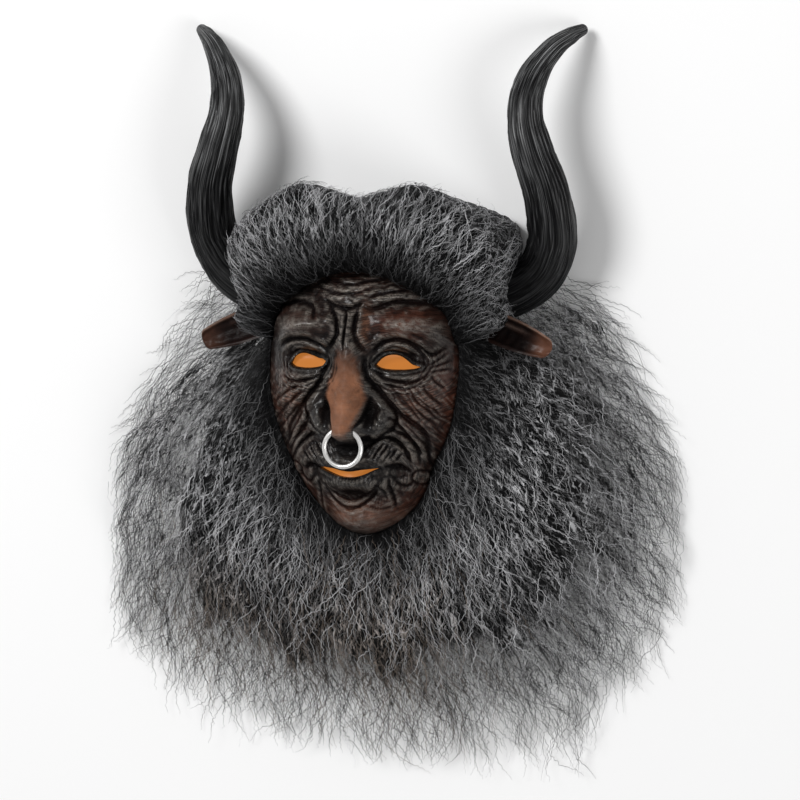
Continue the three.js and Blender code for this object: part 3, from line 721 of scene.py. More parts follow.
class Value:
    """The output of a shader node. Arithmetic on it adds Math nodes to its tree."""

    def __init__(self, socket):
        self.socket = socket

    def node(self, kind, inputs, output=0, **settings):
        """A further node in the same tree."""
        return node(self.socket.id_data, kind, inputs, output, **settings)

    def math(self, operation, a, b=0.0):
        return self.node("ShaderNodeMath", {0: a, 1: b}, operation=operation)

    def __add__(self, other):
        return self.math("ADD", self, other)

    def __sub__(self, other):
        return self.math("SUBTRACT", self, other)

    def __rsub__(self, other):
        return self.math("SUBTRACT", other, self)

    def __mul__(self, other):
        return self.math("MULTIPLY", self, other)

    def __pow__(self, power):
        return self.math("POWER", self, power)

    def __abs__(self):
        return self.math("ABSOLUTE", self)

    def larger(self, other):
        return self.math("MAXIMUM", self, other)

    def clamped(self):
        """The same value kept from 0 to 1 by its own Math node."""
        self.socket.node.use_clamp = True
        return self

    def split(self):
        """The parts of a vector along x and y."""
        parts = self.node("ShaderNodeSeparateXYZ", {0: self}).socket.node
        return Value(parts.outputs[0]), Value(parts.outputs[1])

    def ramp(self, *stops):
        """A colour ramp with stops of place and colour, or place and grey."""
        made = self.node("ShaderNodeValToRGB", {0: self})
        elements = made.socket.node.color_ramp.elements
        while len(elements) < len(stops):
            elements.new(0.5)
        for element, (place, colour) in zip(elements, stops):
            element.position = place
            element.color = (*colour, 1) if hasattr(colour, "__len__") else (colour, colour, colour, 1)
        return made

    def mix(self, a, b):
        """Colour a where this value is 0 and b where it is 1."""
        return self.node("ShaderNodeMix", {0: self, 6: a, 7: b}, output=2, data_type="RGBA")

    def bump(self, strength, distance):
        """A normal from this value as a height, with the height of 1 in metres."""
        return self.node("ShaderNodeBump", {"Height": self, "Strength": strength, "Distance": distance})


def fill(made, inputs):
    """Gives a node's inputs, by name or index, values or the outputs of other nodes. Colours of three are
    opaque."""
    for key, value in inputs.items():
        socket = made.inputs[key]
        if isinstance(value, Value):
            socket.id_data.links.new(value.socket, socket)
        elif socket.type == "RGBA":
            socket.default_value = (*value, 1.0)
        else:
            socket.default_value = value


def node(tree, kind, inputs=None, output=0, **settings):
    """One output of a new node with its settings and inputs."""
    made = tree.nodes.new(kind)
    for key, value in settings.items():
        setattr(made, key, value)
    fill(made, inputs or {})
    return Value(made.outputs[output])


def new_material(name, shine=0.5):
    """A new material with its node tree and its Principled shader."""
    material = bpy.data.materials.new(name)
    material.use_nodes = True
    surface = material.node_tree.nodes["Principled BSDF"]
    fill(surface, {"Specular IOR Level": shine})
    return material, material.node_tree, surface


def attribute(tree, name):
    return node(tree, "ShaderNodeAttribute", output="Fac", attribute_name=name)


def uv_map(tree, name):
    return node(tree, "ShaderNodeUVMap", uv_map=name)


def object_place(tree):
    return node(tree, "ShaderNodeTexCoord", output="Object")


def noise(place, scale=1.0, detail=2.0, roughness=0.5):
    """Noise at a place, about 0 to 1."""
    inputs = {"Vector": place, "Scale": scale, "Detail": detail, "Roughness": roughness}
    return place.node("ShaderNodeTexNoise", inputs)


def stretched_noise(place, scale, start, detail=1.0):
    """Noise with a scale for each of two coordinates, moved to a start that picks another part of it."""
    place = place.node("ShaderNodeVectorMath", {0: place, 1: (*scale, 0), 2: start}, operation="MULTIPLY_ADD")
    return noise(place, detail=detail)


def grain_group():
    """Fine lumps and pores as a height, and wide patches as a mottle, both about 0 to 1."""
    group = bpy.data.node_groups.get("Moulded Grain")
    if group:
        return group
    group = bpy.data.node_groups.new("Moulded Grain", "ShaderNodeTree")
    sockets = (("Vector", "INPUT", "Vector"), ("Scale", "INPUT", "Float"), ("Height", "OUTPUT", "Float"))
    for name, way, kind in (*sockets, ("Mottle", "OUTPUT", "Float")):
        group.interface.new_socket(name, in_out=way, socket_type="NodeSocket" + kind)
    given, out = group.nodes.new("NodeGroupInput"), group.nodes.new("NodeGroupOutput")
    place, scale = Value(given.outputs["Vector"]), Value(given.outputs["Scale"])
    fine = noise(place, scale, 6.0, 0.62)
    pores = node(group, "ShaderNodeTexVoronoi", {"Vector": place, "Scale": scale * 2.2}, "Distance")
    fill(out, {"Height": fine + pores * 0.45, "Mottle": noise(place, scale * 0.17, 4.0)})
    return group


def grain(tree, scale):
    """The grain group placed in a material: its height and its mottle."""
    made = node(tree, "ShaderNodeGroup", node_tree=grain_group()).socket.node
    fill(made, {"Vector": object_place(tree), "Scale": scale})
    return Value(made.outputs["Height"]), Value(made.outputs["Mottle"])


def skin_material(colours):
    """Painted latex: black-brown, with reddish brown and tan sprayed on by the masks of the mesh, black washed
    into the folds that also paints their shade, grey dry-brushed on the ridges that also paints their
    highlights, and glossy black lids and nose wings."""
    material, tree, surface = new_material("painted_latex", 0.06)
    height, mottle = grain(tree, 330.0)
    red, tan, grey, black = (attribute(tree, name) for name in ("red", "tan", "grey", "black"))
    colour = (red * mottle.ramp((0.36, 0.35), (0.62, 1.0))).mix(colours.skin_dark, colours.skin_red)
    colour = (tan * mottle.ramp((0.3, 0.5), (0.6, 1.0))).mix(colour, colours.skin_tan)
    # Grey on the grain's peaks, where the mask has it: dry brush and painted highlight
    colour = (grey * height.ramp((0.46, 0.0), (0.74, 1.0))).mix(colour, colours.skin_grey)
    across, up = object_place(tree).split()
    place = {0: attribute(tree, "contour") * 0.3, 1: across * WRINKLE_SCALE, 2: up * WRINKLE_SCALE}
    from_line = abs(noise(node(tree, "ShaderNodeCombineXYZ", place), detail=2.5, roughness=0.55) - 0.5)
    wrinkle = from_line.ramp((0.0, 1.0), (0.03, 0.6), (0.09, 0.0)) * attribute(tree, "wrinkled")
    # Black washed into hollows and fine wrinkles, which also paints their shade
    wash_and_shade = (black * height.ramp((0.3, 1.0), (0.95, 0.72))).larger(wrinkle * 0.8)
    fill(surface, {
        "Base Color": wash_and_shade.mix(colour, SKIN_WASH_AND_SHADE),
        "Coat Weight": attribute(tree, "gloss") * height.ramp((0.35, 0.55), (0.8, 1.0)),
        "Coat Roughness": 0.27,
        "Roughness": black * -0.1 + (mottle * 0.14 + 0.38 + tan * 0.2),
        "Normal": (height * 0.4 - wrinkle * 0.8).bump(0.9, 0.0011),
    })
    return material


def horn_material(colours):
    """Black painted horn with light streaks along it that paint fine highlights, dark streaks, and a grey on
    the crests of the flutes from rubbing that also paints their highlights. Near the root the grey and the
    light streaks fade out."""
    material, tree, surface = new_material("black_horn", 0.09)
    flow = uv_map(tree, "flow")
    far = flow.split()[1]
    height, mottle = grain(tree, 260.0)
    crest = attribute(tree, "crest")
    lines = stretched_noise(flow, (430, 14), (0, 0, 0), 3.0) * 0.6
    lines = lines + stretched_noise(flow, (210, 8), (0, 0, 0), 3.0) * 0.4
    # Grey on the crests: rubbing and painted highlight, fading out near the root
    rubbed_and_lit = crest * far.ramp((0.1, 0.12), (0.3, 1.0)) * lines.ramp((0.42, 0.0), (0.62, 1.0))
    # Light streaks paint fine highlights along the flutes; dark streaks keep thin lines black
    streaks = [stretched_noise(flow, (fine, 9), (at, at, at), 1.5) for fine, at in ((560, 3), (430, 11))]
    light, dark = (abs(value - 0.5).ramp((0.0, 1.0), (0.03, 0.9), (0.06, 0.0)) for value in streaks)
    lit_streaks = light * far.ramp((0.1, 0.15), (0.3, 0.9)) * lines.ramp((0.4, 0.35), (0.6, 1.0))
    rubbed_and_lit = rubbed_and_lit.larger(lit_streaks) * mottle.ramp((0.3, 0.45), (0.7, 1.0)) * (1.0 - dark * 0.85)
    fill(surface, {
        "Base Color": rubbed_and_lit.mix(colours.horn, colours.horn_rubbed_lit),
        "Roughness": lines.ramp((0.3, 0.34), (0.75, 0.58)),
        "Coat Weight": crest * 0.45,
        "Coat Roughness": 0.34,
        "Normal": (lines + height * 0.2 + light * 0.3 - dark * 0.5).bump(0.9, 0.0012),
    })
    return material


def ring_material(colours):
    """Polished silver with faint wear."""
    material, tree, surface = new_material("silver_ring")
    height, mottle = grain(tree, 500.0)
    fill(surface, {
        "Metallic": 0.85,
        "Base Color": mottle.ramp((0.4, 0.0), (0.8, 0.3)).mix(colours.ring, RING_WORN),
        "Roughness": height.ramp((0.4, 0.24), (0.9, 0.36)),
    })
    return material


def film_material(colours):
    """Even orange film with a faint cloudiness. It glows a little as painted light, as though lit from behind.
    """
    material, tree, surface = new_material("orange_film")
    height, mottle = grain(tree, 90.0)
    film = np.array(colours.film)
    fill(surface, {
        # The glow is painted light: no lamp lies behind the film
        "Emission Color": mottle.ramp((0.35, 0.0), (0.7, 1.0)).mix(film, 0.9 * film),
        "Emission Strength": 0.72,
        "Base Color": 0.35 * film,
        "Roughness": 0.5,
        "Normal": height.bump(0.1, 0.0003),
    })
    return material


def fibre_material(name, colours, lightness, thinning=False):
    """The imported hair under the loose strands: fine crimped fibres along the flow map, black to grey. Where
    it thins towards its edge, the gaps between fibres open up, first between the locks."""
    material, tree, surface = new_material(name, 0.06)
    flow = uv_map(tree, "flow")
    across, along = flow.split()
    fibres = 0.0
    for tilt, strength in FIBRE_LAYERS:
        u = across * np.cos(tilt) + along * np.sin(tilt)
        v = along * np.cos(tilt) - across * np.sin(tilt)
        plane = node(tree, "ShaderNodeCombineXYZ", {0: u, 1: v})
        kinks = stretched_noise(plane, (140, 480), (0, 0, tilt * 30))
        bent = node(tree, "ShaderNodeCombineXYZ", {0: u + (kinks - 0.5) * KINK_WIDTH, 1: v})
        from_line = abs(stretched_noise(bent, (400, 40), (0, 0, tilt * 50 + 7)) - 0.5)
        dips = stretched_noise(plane, (300, 50), (0, 0, tilt * 70 + 3))
        line = from_line.ramp((0.0, 1.0), (0.014, 0.9), (0.03, 0.0))
        fibres = (line * dips.ramp((0.42, 0.04 * strength), (0.6, strength))).larger(fibres)
    # The lit attribute darkens the fibres with painted shade beside the face
    bright = fibres ** 1.5 * (attribute(tree, "lit") * lightness)
    light = (attribute(tree, "brown") * 0.8).mix(colours.hair_light, HAIR_BROWN)
    dark = colours.hair_dark
    if thinning:
        edge = attribute(tree, "edge")
        dark = edge.mix(dark, HAIR_FADED)
        bright = bright * (1.0 - (edge * 0.8).clamped())
        opening = edge.ramp((0.0, 0.0), (0.25, 1.0))
        gap = edge
        for wide, long, strength in LOCK_GAPS:
            gap = gap + (stretched_noise(flow, (wide, long), (0, 0, wide)) - 0.5) * strength * opening
        gap = gap + edge.ramp((0.7, 0.0), (1.0, 1.0))
        fill(surface, {"Alpha": ((fibres - gap * 1.15 + 0.24) * 6.0).clamped()})
    colour = bright.mix(dark, light)
    fill(surface, {"Base Color": colour, "Roughness": 0.7, "Normal": fibres.bump(0.6, 0.001)})
    return material


def strand_material(colours):
    """Loose strands: the map's u picks a shade from black to light grey and then brown, and v darkens the
    root."""
    if "crimped_strands" in bpy.data.materials:
        return bpy.data.materials["crimped_strands"]
    material, tree, surface = new_material("crimped_strands", 0.08)
    u, v = uv_map(tree, "OFBake").split()
    dark, light = np.array(colours.hair_dark), np.array(colours.hair_light)
    greys = [(place, lerp(dark, light, share)) for place, share in STRAND_GREYS]
    root = v.ramp((0.0, 0.25), (0.18, 1.0), (0.8, 1.0), (1.0, 0.8))
    inputs = {0: 1.0, 6: u.ramp(*greys, *STRAND_BROWNS), 7: root}
    shade = node(tree, "ShaderNodeMix", inputs, output=2, data_type="RGBA", blend_type="MULTIPLY")
    fill(surface, {"Base Color": shade, "Roughness": 0.55})
    return material


# The face


def fan(tip, start, count, flip=False):
    """Triangles from a tip to the points of a ring that begins at start."""
    column = np.arange(count)
    pair = (start + column, start + (column + 1) % count)
    return np.stack([np.full(count, tip), *(pair[::-1] if flip else pair)], -1)


def egg_grid(angle, shares, grow, pole):
    """Places on rings that widen by their shares from a pole to the rim's outline, grown a little."""
    radius = rim_radius(angle, grow)
    x = shares[:, None] * (radius * np.cos(angle))
    return x, lerp(pole, RIM["middle"] + radius * np.sin(angle), shares[:, None])


def face_grid():
    """Outer and inner surface of the shell as rings of points, from the pole of the grid out to the rim, then
    in again. Rows stand closest where the shell turns down to its rim."""
    angle = turns(FACE_AROUND)
    seen = VISIBLE_SHARE * np.arange(1, FACE_ROWS + 1) / FACE_ROWS
    edge = 1 - (1 - VISIBLE_SHARE) * (1 - np.arange(1, RIM_ROWS + 1) / RIM_ROWS) ** 1.8
    inside = 1 - (np.arange(INSIDE_ROWS) / INSIDE_ROWS) ** 1.4
    x, y = egg_grid(angle, np.concatenate([seen, edge]), 0, POLE_Y)
    outer = np.stack([x, y, face_height(x, y)], -1)
    x, y = egg_grid(angle, inside, -WALL, POLE_Y)
    inner = np.stack([x, y, inside_height(x, y)], -1)
    outer[-1, :, 2] = 0
    inner[0, :, 2] = 0
    poles = [[0, POLE_Y, height_at(height, POLE_Y)] for height in (face_height, inside_height)]
    rings = np.concatenate([outer, inner])
    points = np.concatenate([poles[:1], rings.reshape(-1, 3), poles[1:]])
    last = len(points) - 1
    fans = [fan(0, 1, FACE_AROUND), fan(last, last - FACE_AROUND, FACE_AROUND, flip=True)]
    return points, [np.concatenate(fans), grid_faces(len(rings), FACE_AROUND, closed=True, start=1)]


def height_map():
    """The face's height on an even grid, with the grid's lowest x and y."""
    x, y = np.arange(*MAP_X, MAP_STEP), np.arange(*MAP_Y, MAP_STEP)
    return face_height(*np.meshgrid(x, y)), (x[0], y[0])


def sampled(values, corner, x, y):
    """Values of an even grid at places between its points, weighted by nearness in both directions."""
    across = np.clip((x - corner[0]) / MAP_STEP, 0, values.shape[1] - 1.001)
    up = np.clip((y - corner[1]) / MAP_STEP, 0, values.shape[0] - 1.001)
    i, j = across.astype(int), up.astype(int)
    u, v = across - i, up - j
    return lerp(lerp(values[j, i], values[j, i + 1], u), lerp(values[j + 1, i], values[j + 1, i + 1], u), v)


def cavity(values, steps):
    """How far each point of a height grid lies below the mean of eight points round it, in mm."""
    slanted = max(round(steps * 0.7), 1)
    around = np.zeros(values.shape)
    for i, j in ((steps, 0), (0, steps), (slanted, slanted), (slanted, -slanted)):
        around += (np.roll(values, (i, j), (0, 1)) + np.roll(values, (-i, -j), (0, 1))) / 8
    return around - values


def paint_masks(x, y):
    """How much of each paint a place on the face takes: red, tan, black and grey. Black is washed into
    hollows, where it also paints their shade, and lies on lids, lips and nose wings. Grey is brushed on
    ridges, where it also paints their highlights. Gloss and wrinkles mostly leave the nose out."""
    heights, corner = height_map()
    fine, middling, broad = (sampled(cavity(heights, steps), corner, x, y) for steps in (2, 4, 8))
    half = np.interp(y, *NOSE_PAINT)
    nose = smooth(half - np.abs(x + 2), -2.5, 2.5) * smooth(16 - y, 0, 16) * smooth(y + 63, 0, 14)
    near_eyes = np.minimum(from_outline(x, y, EYE_RIGHT), from_outline(x, y, EYE_LEFT))
    lids, lips = bell(near_eyes, 0, 5.5), bell(from_outline(x, y, MOUTH), 0, 4.5)
    wings = np.minimum(mirrored_blob(x, y, 23, -44, 10, 15, 1.6), 1) * (1 - nose)
    # Black from the hollows paints their shade as well as washed paint; the spots add a painted shadow under
    # the nose
    black = (
        smooth(fine, 0.01, 0.3), 0.95 * smooth(middling, 0.04, 0.7), 0.95 * smooth(broad, 0.15, 2.0),
        lids, 0.9 * lips, 0.97 * wings, *(mirrored_blob(x, y, *row) for row in BLACK_SPOTS),
    )
    # Grey on ridges: dry brush and painted highlight
    ridges = 0.9 * smooth(-fine, 0.03, 0.3) + 0.3 * smooth(-broad, 0.4, 2.2)
    open_to_light = 1 - np.maximum(smooth(fine, 0.0, 0.4), smooth(broad, 0.3, 2.4))
    shiny = 0.4 + 0.35 * np.maximum(lids, mirrored_blob(x, y, 23, -46, 10, 14))
    masks = {
        "red": spots(x, y, *RED_SPOTS) + 0.4 * nose,
        "tan": nose * lerp(0.95, 0.3, smooth(y, -20, 6)) + spots(x, y, *TAN_SPOTS),
        "black": np.max(black, axis=0),
        "grey": ridges * (1 - 0.75 * nose) * spots(x, y, GREY_SPOTS, start=0.42),
        "gloss": open_to_light * shiny * (1 - 0.92 * nose),
        "wrinkled": 1 - spots(x, y, BARE_SPOTS) - 0.85 * nose,
    }
    masks = {name: np.clip(values, 0, 1) for name, values in masks.items()}
    return {**masks, "contour": contour(x, y)}


def contour(x, y):
    """Distance to the nearest of the eyes and the mouth in mm, rounded where two meet: the log of summed
    exponentials of the distances. Fine wrinkles run along places of one value."""
    eyes = [np.hypot((x - side * EYE_AWAY) * 0.8, (y + 2) * 1.25) for side in (1, -1)]
    mouth = np.hypot(x * 0.75, (y + 90) * 1.1)
    near = sum(np.exp(-distance / 6) for distance in (*eyes, mouth))
    return -6 * np.log(near)


def paint(mesh):
    """Stores the paint masks on the mesh's vertices."""
    place = vertices_mm(mesh)
    for name, values in paint_masks(place[:, 0], place[:, 1]).items():
        set_values(mesh, name, values)


def sharpen(mesh, degrees=50):
    """Keeps edges sharp that turn by more than the angle."""
    mesh.set_sharp_from_angle(angle=np.radians(degrees))


def make_face(material):
    """The hollow face, cut through at the eyes and the mouth, and painted."""
    face = add_piece("face", *face_grid(), material)
    cutters = []
    for opening in (EYE_RIGHT, EYE_LEFT, MOUTH):
        cutters.append(add_piece("opening", *prism(opening_outline(opening), *OPENING_CUT), material))
    without(face, cutters)
    for cutter in cutters:
        bpy.data.objects.remove(cutter)
    paint(face.data)
    sharpen(face.data)
    return settle(face, "moulded_skin", "face_shell")


def filled_shell(grow, material):
    """The face shell's outline grown a little and filled, down to below the floor, to cut the pieces that
    meet it."""
    angle = turns(SHELL_AROUND)
    shares = 1 - (1 - np.arange(1, SHELL_ROWS + 1) / SHELL_ROWS) ** 1.6
    x, y = egg_grid(angle, shares, grow, RIM["middle"])
    shrunk = 1 - grow / rim_radius(angle, grow) * shares[:, None]
    z = plain_height(x * shrunk, RIM["middle"] + (y - RIM["middle"]) * shrunk) + grow
    rings = np.stack([x, y, z], -1)
    rings[-1, :, 2] = 0
    below = rings[-1] * (1, 1, 0) + (0, 0, SHELL_BELOW)
    top = [[0, RIM["middle"], height_at(plain_height, RIM["middle"]) + grow]]
    points = np.concatenate([top, rings.reshape(-1, 3), below])
    floor = np.arange(len(points) - SHELL_AROUND, len(points))[None, ::-1]
    sides = grid_faces(SHELL_ROWS + 1, SHELL_AROUND, closed=True, start=1)
    return add_piece("filled_shell", points, [fan(0, 1, SHELL_AROUND), sides, floor], material)


# Horns, ears, ring and films


def tube(rings):
    """Points and faces of a closed tube through rings of points, with a fan at each end."""
    count, sides = rings.shape[:2]
    ends = np.stack([rings[0].mean(0), rings[-1].mean(0)])
    points = np.concatenate([rings.reshape(-1, 3), ends])
    base = count * sides
    fans = [fan(base, 0, sides, flip=True), fan(base + 1, base - sides, sides)]
    return points, [np.concatenate(fans), grid_faces(count, sides, closed=True)]


def horn_frames(side):
    """The horn's line with two directions across it, the first as near to straight up as the line allows."""
    line = spline(HORN_LINE * (side, 1, 1), HORN_STEPS)
    along = unit(np.gradient(line, axis=0))
    up = unit((0, 0, 1) - along[:, 2:] * along)
    return line, along, up, np.cross(along, up)


def horn_rings(side):
    """Round sections with irregular flutes along the horn that wander, split and fade towards a rounded tip.
    Also gives each point's height on its flute, and its place round and along the horn."""
    line, along, up, across = horn_frames(side)
    radius = spline(np.c_[HORN_RADII, HORN_RADII], HORN_STEPS)[:, :1]
    turn = turns(HORN_SIDES)[None, :]
    place = np.linspace(0, 1, HORN_STEPS)[:, None]
    cap = np.linspace(0.12, 1, HORN_CAP_STEPS)[:, None] * np.pi / 2
    tip = HORN_RADII[-1]
    line = np.concatenate([line, line[-1] + along[-1] * np.sin(cap) * tip])
    up, across = (np.concatenate([v, np.repeat(v[-1:], len(cap), 0)]) for v in (up, across))
    radius = np.concatenate([radius, tip * np.maximum(np.cos(cap), 0.04)])
    place = np.concatenate([place, np.full_like(cap, 1.0)])
    rng = np.random.default_rng(3 if side > 0 else 4)
    bend = 0.0
    for n in range(1, 6):
        strength = rng.uniform(0.05, 0.14)
        bend = bend + strength * np.sin(n * turn + rng.uniform(1, 7) * place * 2 + rng.uniform(0, 6.3))
    wave = (turn + bend) * HORN_FLUTES + 1.4 * np.sin(9 * place + 2 * turn)
    strength = 0.55 + 0.45 * np.sin(3 * turn + 7 * place + 1) * np.cos(5 * turn - 11 * place)
    flute = -np.abs(np.sin(wave / 2)) ** 0.7 * strength
    fine = 0.3 * np.sin(2.3 * wave + 5 * np.sin(14 * place)) * np.cos(4 * turn + 17 * place)
    depth = bpy.context.scene.mask_sizes.flute_depth / MM
    relief = (flute + fine) * depth * (0.35 + 0.65 * radius / 20) * 1.5 * (1 - 0.85 * smooth(place, 0.93, 1))
    lumps = 0.35 * np.sin(46 * place + 2 * np.sin(2 * turn)) * np.sin(17 * place + 1.3)
    full = radius + relief + lumps * (1 - smooth(place, 0.9, 1)) + 0.5
    rings = line[:, None] + full[..., None] * (
        np.cos(turn)[..., None] * up[:, None] + np.sin(turn)[..., None] * across[:, None]
    )
    return rings, flute + fine, turn + 0 * place, place + 0 * turn


def with_ends(values, first, last):
    """A tube's values on its rings, followed by those of its two end points."""
    return np.concatenate([values.ravel(), [first, last]])


def make_horn(name, side, shell, material):
    """One horn, cut where it meets the shell. Its map runs once round and along the horn, and goes on past
    the seam."""
    rings, crest, turn, place = horn_rings(side)
    points, faces = tube(rings)
    around = with_ends(turn, 0, 0) / (2 * np.pi) * HORN_MAP[0]
    uv = np.stack([around, with_ends(place, 0, 1) * HORN_MAP[1]], -1)
    maps = []
    for block in faces:
        corner = uv[block]
        u = corner[..., 0]
        seam = (np.ptp(u, axis=1) > HORN_MAP[0] / 2)[:, None]
        u[:] = np.where(seam & (u < HORN_MAP[0] / 2), u + HORN_MAP[0], u)
        maps.append(corner)
    horn = add_piece(name + "_fluted", points, faces, material, {"flow": maps})
    set_values(horn.data, "crest", with_ends(smooth(crest, -0.55, 0.1), 0, 0))
    without(horn, [shell])
    sharpen(horn.data, 60)
    return settle(horn, "black_horn", name)


def ear_half_width(t):
    """Half the ear's width from root to tip, widest before the middle and blunt at the tip."""
    return EAR["half_width"] * np.sin(np.pi * (0.2 + 0.62 * t)) ** 0.6


def ear_ends(side):
    """The root and the tip of an ear's middle line."""
    return (np.array(EAR[key], float) * (side, 1, 1) for key in ("root", "tip"))


def ear_rings(side):
    """Crescent sections from root to tip, with a rolled rim, a hollow front with folds along it, and a
    rounded tip. Also gives each point's share of the way to the tip, its place from edge to edge, and how far
    it faces forward."""
    root, tip = ear_ends(side)
    reach = np.linalg.norm(tip - root)
    along = unit(tip - root)
    front = np.array([0.0, 0, 1])
    across = unit(np.cross(front, along))
    t = np.linspace(0, 1, EAR_STEPS)
    end = np.linspace(0.15, 1, EAR_END_STEPS)
    bare = ear_half_width(t)
    width = np.concatenate([bare, bare[-1] * np.sqrt(np.maximum(1 - end**2, 0.01))])[:, None]
    past = np.concatenate([t * reach, reach + 0.75 * bare[-1] * end])[:, None]
    share = np.concatenate([t, np.ones(EAR_END_STEPS)])[:, None]
    thin = np.concatenate([np.ones(EAR_STEPS), np.sqrt(np.maximum(1 - end**2, 0.03))])[:, None]
    bare = np.concatenate([bare, np.full(EAR_END_STEPS, bare[-1])])[:, None]
    theta = turns(EAR_SIDES)[None, :]
    v, facing = np.cos(theta), np.sin(theta)
    cup = EAR["cup"] * (v * width / bare) ** 2 * (1 - 0.5 * share)
    roll = 1 - 0.6 * v**2 + 1.5 * bell(np.abs(v), 0.86, 0.1)
    lift = facing * EAR["thick"] / 2 * roll * thin
    far = past + 0 * v
    folds = 0.5 * np.sin(v * 9 + 0.05 * far) * np.sin(0.09 * far + 0.8) * (1 - v**2)
    folds += 0.35 * waves(far, v * 15, 9, 21) * (1 - v**4)
    folds += 2.2 * inner_roll(share, v * side) - 1.5 * (1 - v**4)
    folds = folds * (facing > 0) * smooth(share, 0, 0.15)
    rings = root + past[..., None] * along + (v * width)[..., None] * across
    rings = rings + (cup + lift + folds)[..., None] * front
    return rings, share + 0 * v, v + 0 * far, facing + 0 * far


def inner_roll(share, upward):
    """How much a place on the ear is part of the roll that runs along its hollow, a bit above the middle."""
    return bell(upward, 0.38, 0.13) * smooth(0.85 - share, 0, 0.3)


def make_ear(name, side, shell, material):
    """One ear, cut where it meets the shell, reddish brown, with black in the hollow and along the lower edge
    that paints shade, and tan and grey on the upper rim and the roll that paint highlights. The left one is
    the darker."""
    rings, share, v, facing = ear_rings(side)
    ear = add_piece(name + "_lobe", *tube(rings), material)
    hollow = smooth(facing, 0.0, 0.3) * smooth(0.88 - np.abs(v), 0, 0.12) * (1 - 0.8 * smooth(share, 0.75, 1))
    upper, lower = (bell(way * side * v, 0.92, 0.12) * smooth(share, 0.1, 0.4) for way in (1, -1))
    shown = 1.0 if side > 0 else 0.3
    tip = smooth(share, 0.75, 1) * shown
    ridge = inner_roll(share, v * side) * smooth(facing, 0, 0.4) * shown
    # Painted light and shade: black in the hollow and along the lower edge, tan and grey highlights on the
    # upper rim and the roll
    masks = {
        "red": 0.3 + 0.5 * upper + 0.5 * tip + 0.4 * ridge,
        "tan": 0.4 * upper + 0.3 * tip + 0.12 * ridge,
        "black": 0.97 * hollow * (1 - 0.75 * ridge) + lerp(0.8, 0.55, shown) * lower,
        "grey": 0.4 * upper + 0.35 * ridge,
        "gloss": shown * (0.4 * (1 - hollow) + 0.3 * ridge),
    }
    for key, values in masks.items():
        set_values(ear.data, key, np.clip(with_ends(values, values[0, 0], values[-1, 0]), 0, 1))
    without(ear, [shell])
    return settle(ear, "moulded_skin", name)


def make_ring(material):
    """A closed ring of round wire through the tip of the nose."""
    turn, round_wire = turns(RING_AROUND)[:, None], turns(RING_SIDES)[None, :]
    away = RING["radius"] + RING["wire"] * np.cos(round_wire)
    z = RING["wire"] * np.sin(round_wire) + 0 * turn
    points = np.stack([away * np.cos(turn), away * np.sin(turn), z], -1).reshape(-1, 3) + RING["centre"]
    faces = grid_faces(RING_AROUND + 1, RING_SIDES, closed=True)
    ring = add_piece("nose_ring_wire", points, [faces % len(points)], material)
    return settle(ring, "silver_ring", "nose_ring")


def make_film(name, material):
    """A thin oval sheet that follows the shell's inside behind its opening."""
    middle_x, middle_y, half_width, half_height = FILMS[name]
    turn = turns(FILM_AROUND)
    shares = np.arange(1, FILM_RINGS + 1)[:, None] / FILM_RINGS
    x = middle_x + half_width * shares * np.cos(turn)
    y = middle_y + half_height * shares * np.sin(turn)
    front = np.stack([x, y, inside_height(x, y) - FILM_GAP], -1)
    back = front[::-1] - (0, 0, FILM_THICK)
    film = add_piece(name + "_sheet", *tube(np.concatenate([front, back])), material)
    sharpen(film.data)
    return settle(film, "orange_film", name)


# Hair


def parabolic(x, y):
    """Across and along coordinates of hair that starts at the face and bends over to fall: the square root of
    the distance from the rim's middle, times the sine and cosine of half the angle from straight down."""
    radius, angle = from_middle(x, y)
    half = (angle + np.pi / 2) / 2
    half = np.where(half > np.pi / 2, half - np.pi, half)
    scale = 2 * np.sqrt(FLOW_TRUE_AT * radius)
    return np.stack([scale * np.sin(half), scale * np.cos(half)], -1)


def fall_heading(x, y):
    """Direction in which hair of the mane runs at a place: between outwards and straight down by the share
    FALL."""
    from_down = np.mod(from_middle(x, y)[1] + np.pi / 2 + np.pi, 2 * np.pi) - np.pi
    return -np.pi / 2 + FALL * from_down


def hairline_radius(angle):
    """Distance of the hairline from the rim's middle: a share of the rim's, which differs at crown, brow,
    side and chin."""
    up = np.sin(angle)
    above = lerp(HAIRLINE["brow"], HAIRLINE["crown"], smooth(up, 0.55, 1))
    below = lerp(HAIRLINE["side"], HAIRLINE["chin"], smooth(-up, 0.72, 0.97))
    return rim_radius(angle) * lerp(below, above, smooth(up, -0.3, 0.5))


def about_middle(angle, radius, z):
    """Points at an angle and a distance from the rim's middle."""
    x = radius * np.cos(angle)
    return np.stack([x, RIM["middle"] + radius * np.sin(angle), z + 0 * x], -1)


def skin_under(angle, radius):
    """The plain face's height at an angle and a distance from the rim's middle."""
    x = radius * np.cos(angle)
    return plain_height(x, RIM["middle"] + radius * np.sin(angle))


def by_length(lines, count):
    """Each line of points laid out again at even steps of its own length, and those lengths."""
    steps = np.linalg.norm(np.diff(lines, axis=1), axis=-1)
    far = np.concatenate([np.zeros((len(lines), 1)), np.cumsum(steps, 1)], 1)
    wanted = np.linspace(0, 1, count)
    even = np.empty((len(lines), count, 3))
    for i, line in enumerate(lines):
        for k in range(3):
            even[i, :, k] = np.interp(wanted * far[i, -1], far[i], line[:, k])
    return even, far[:, -1]


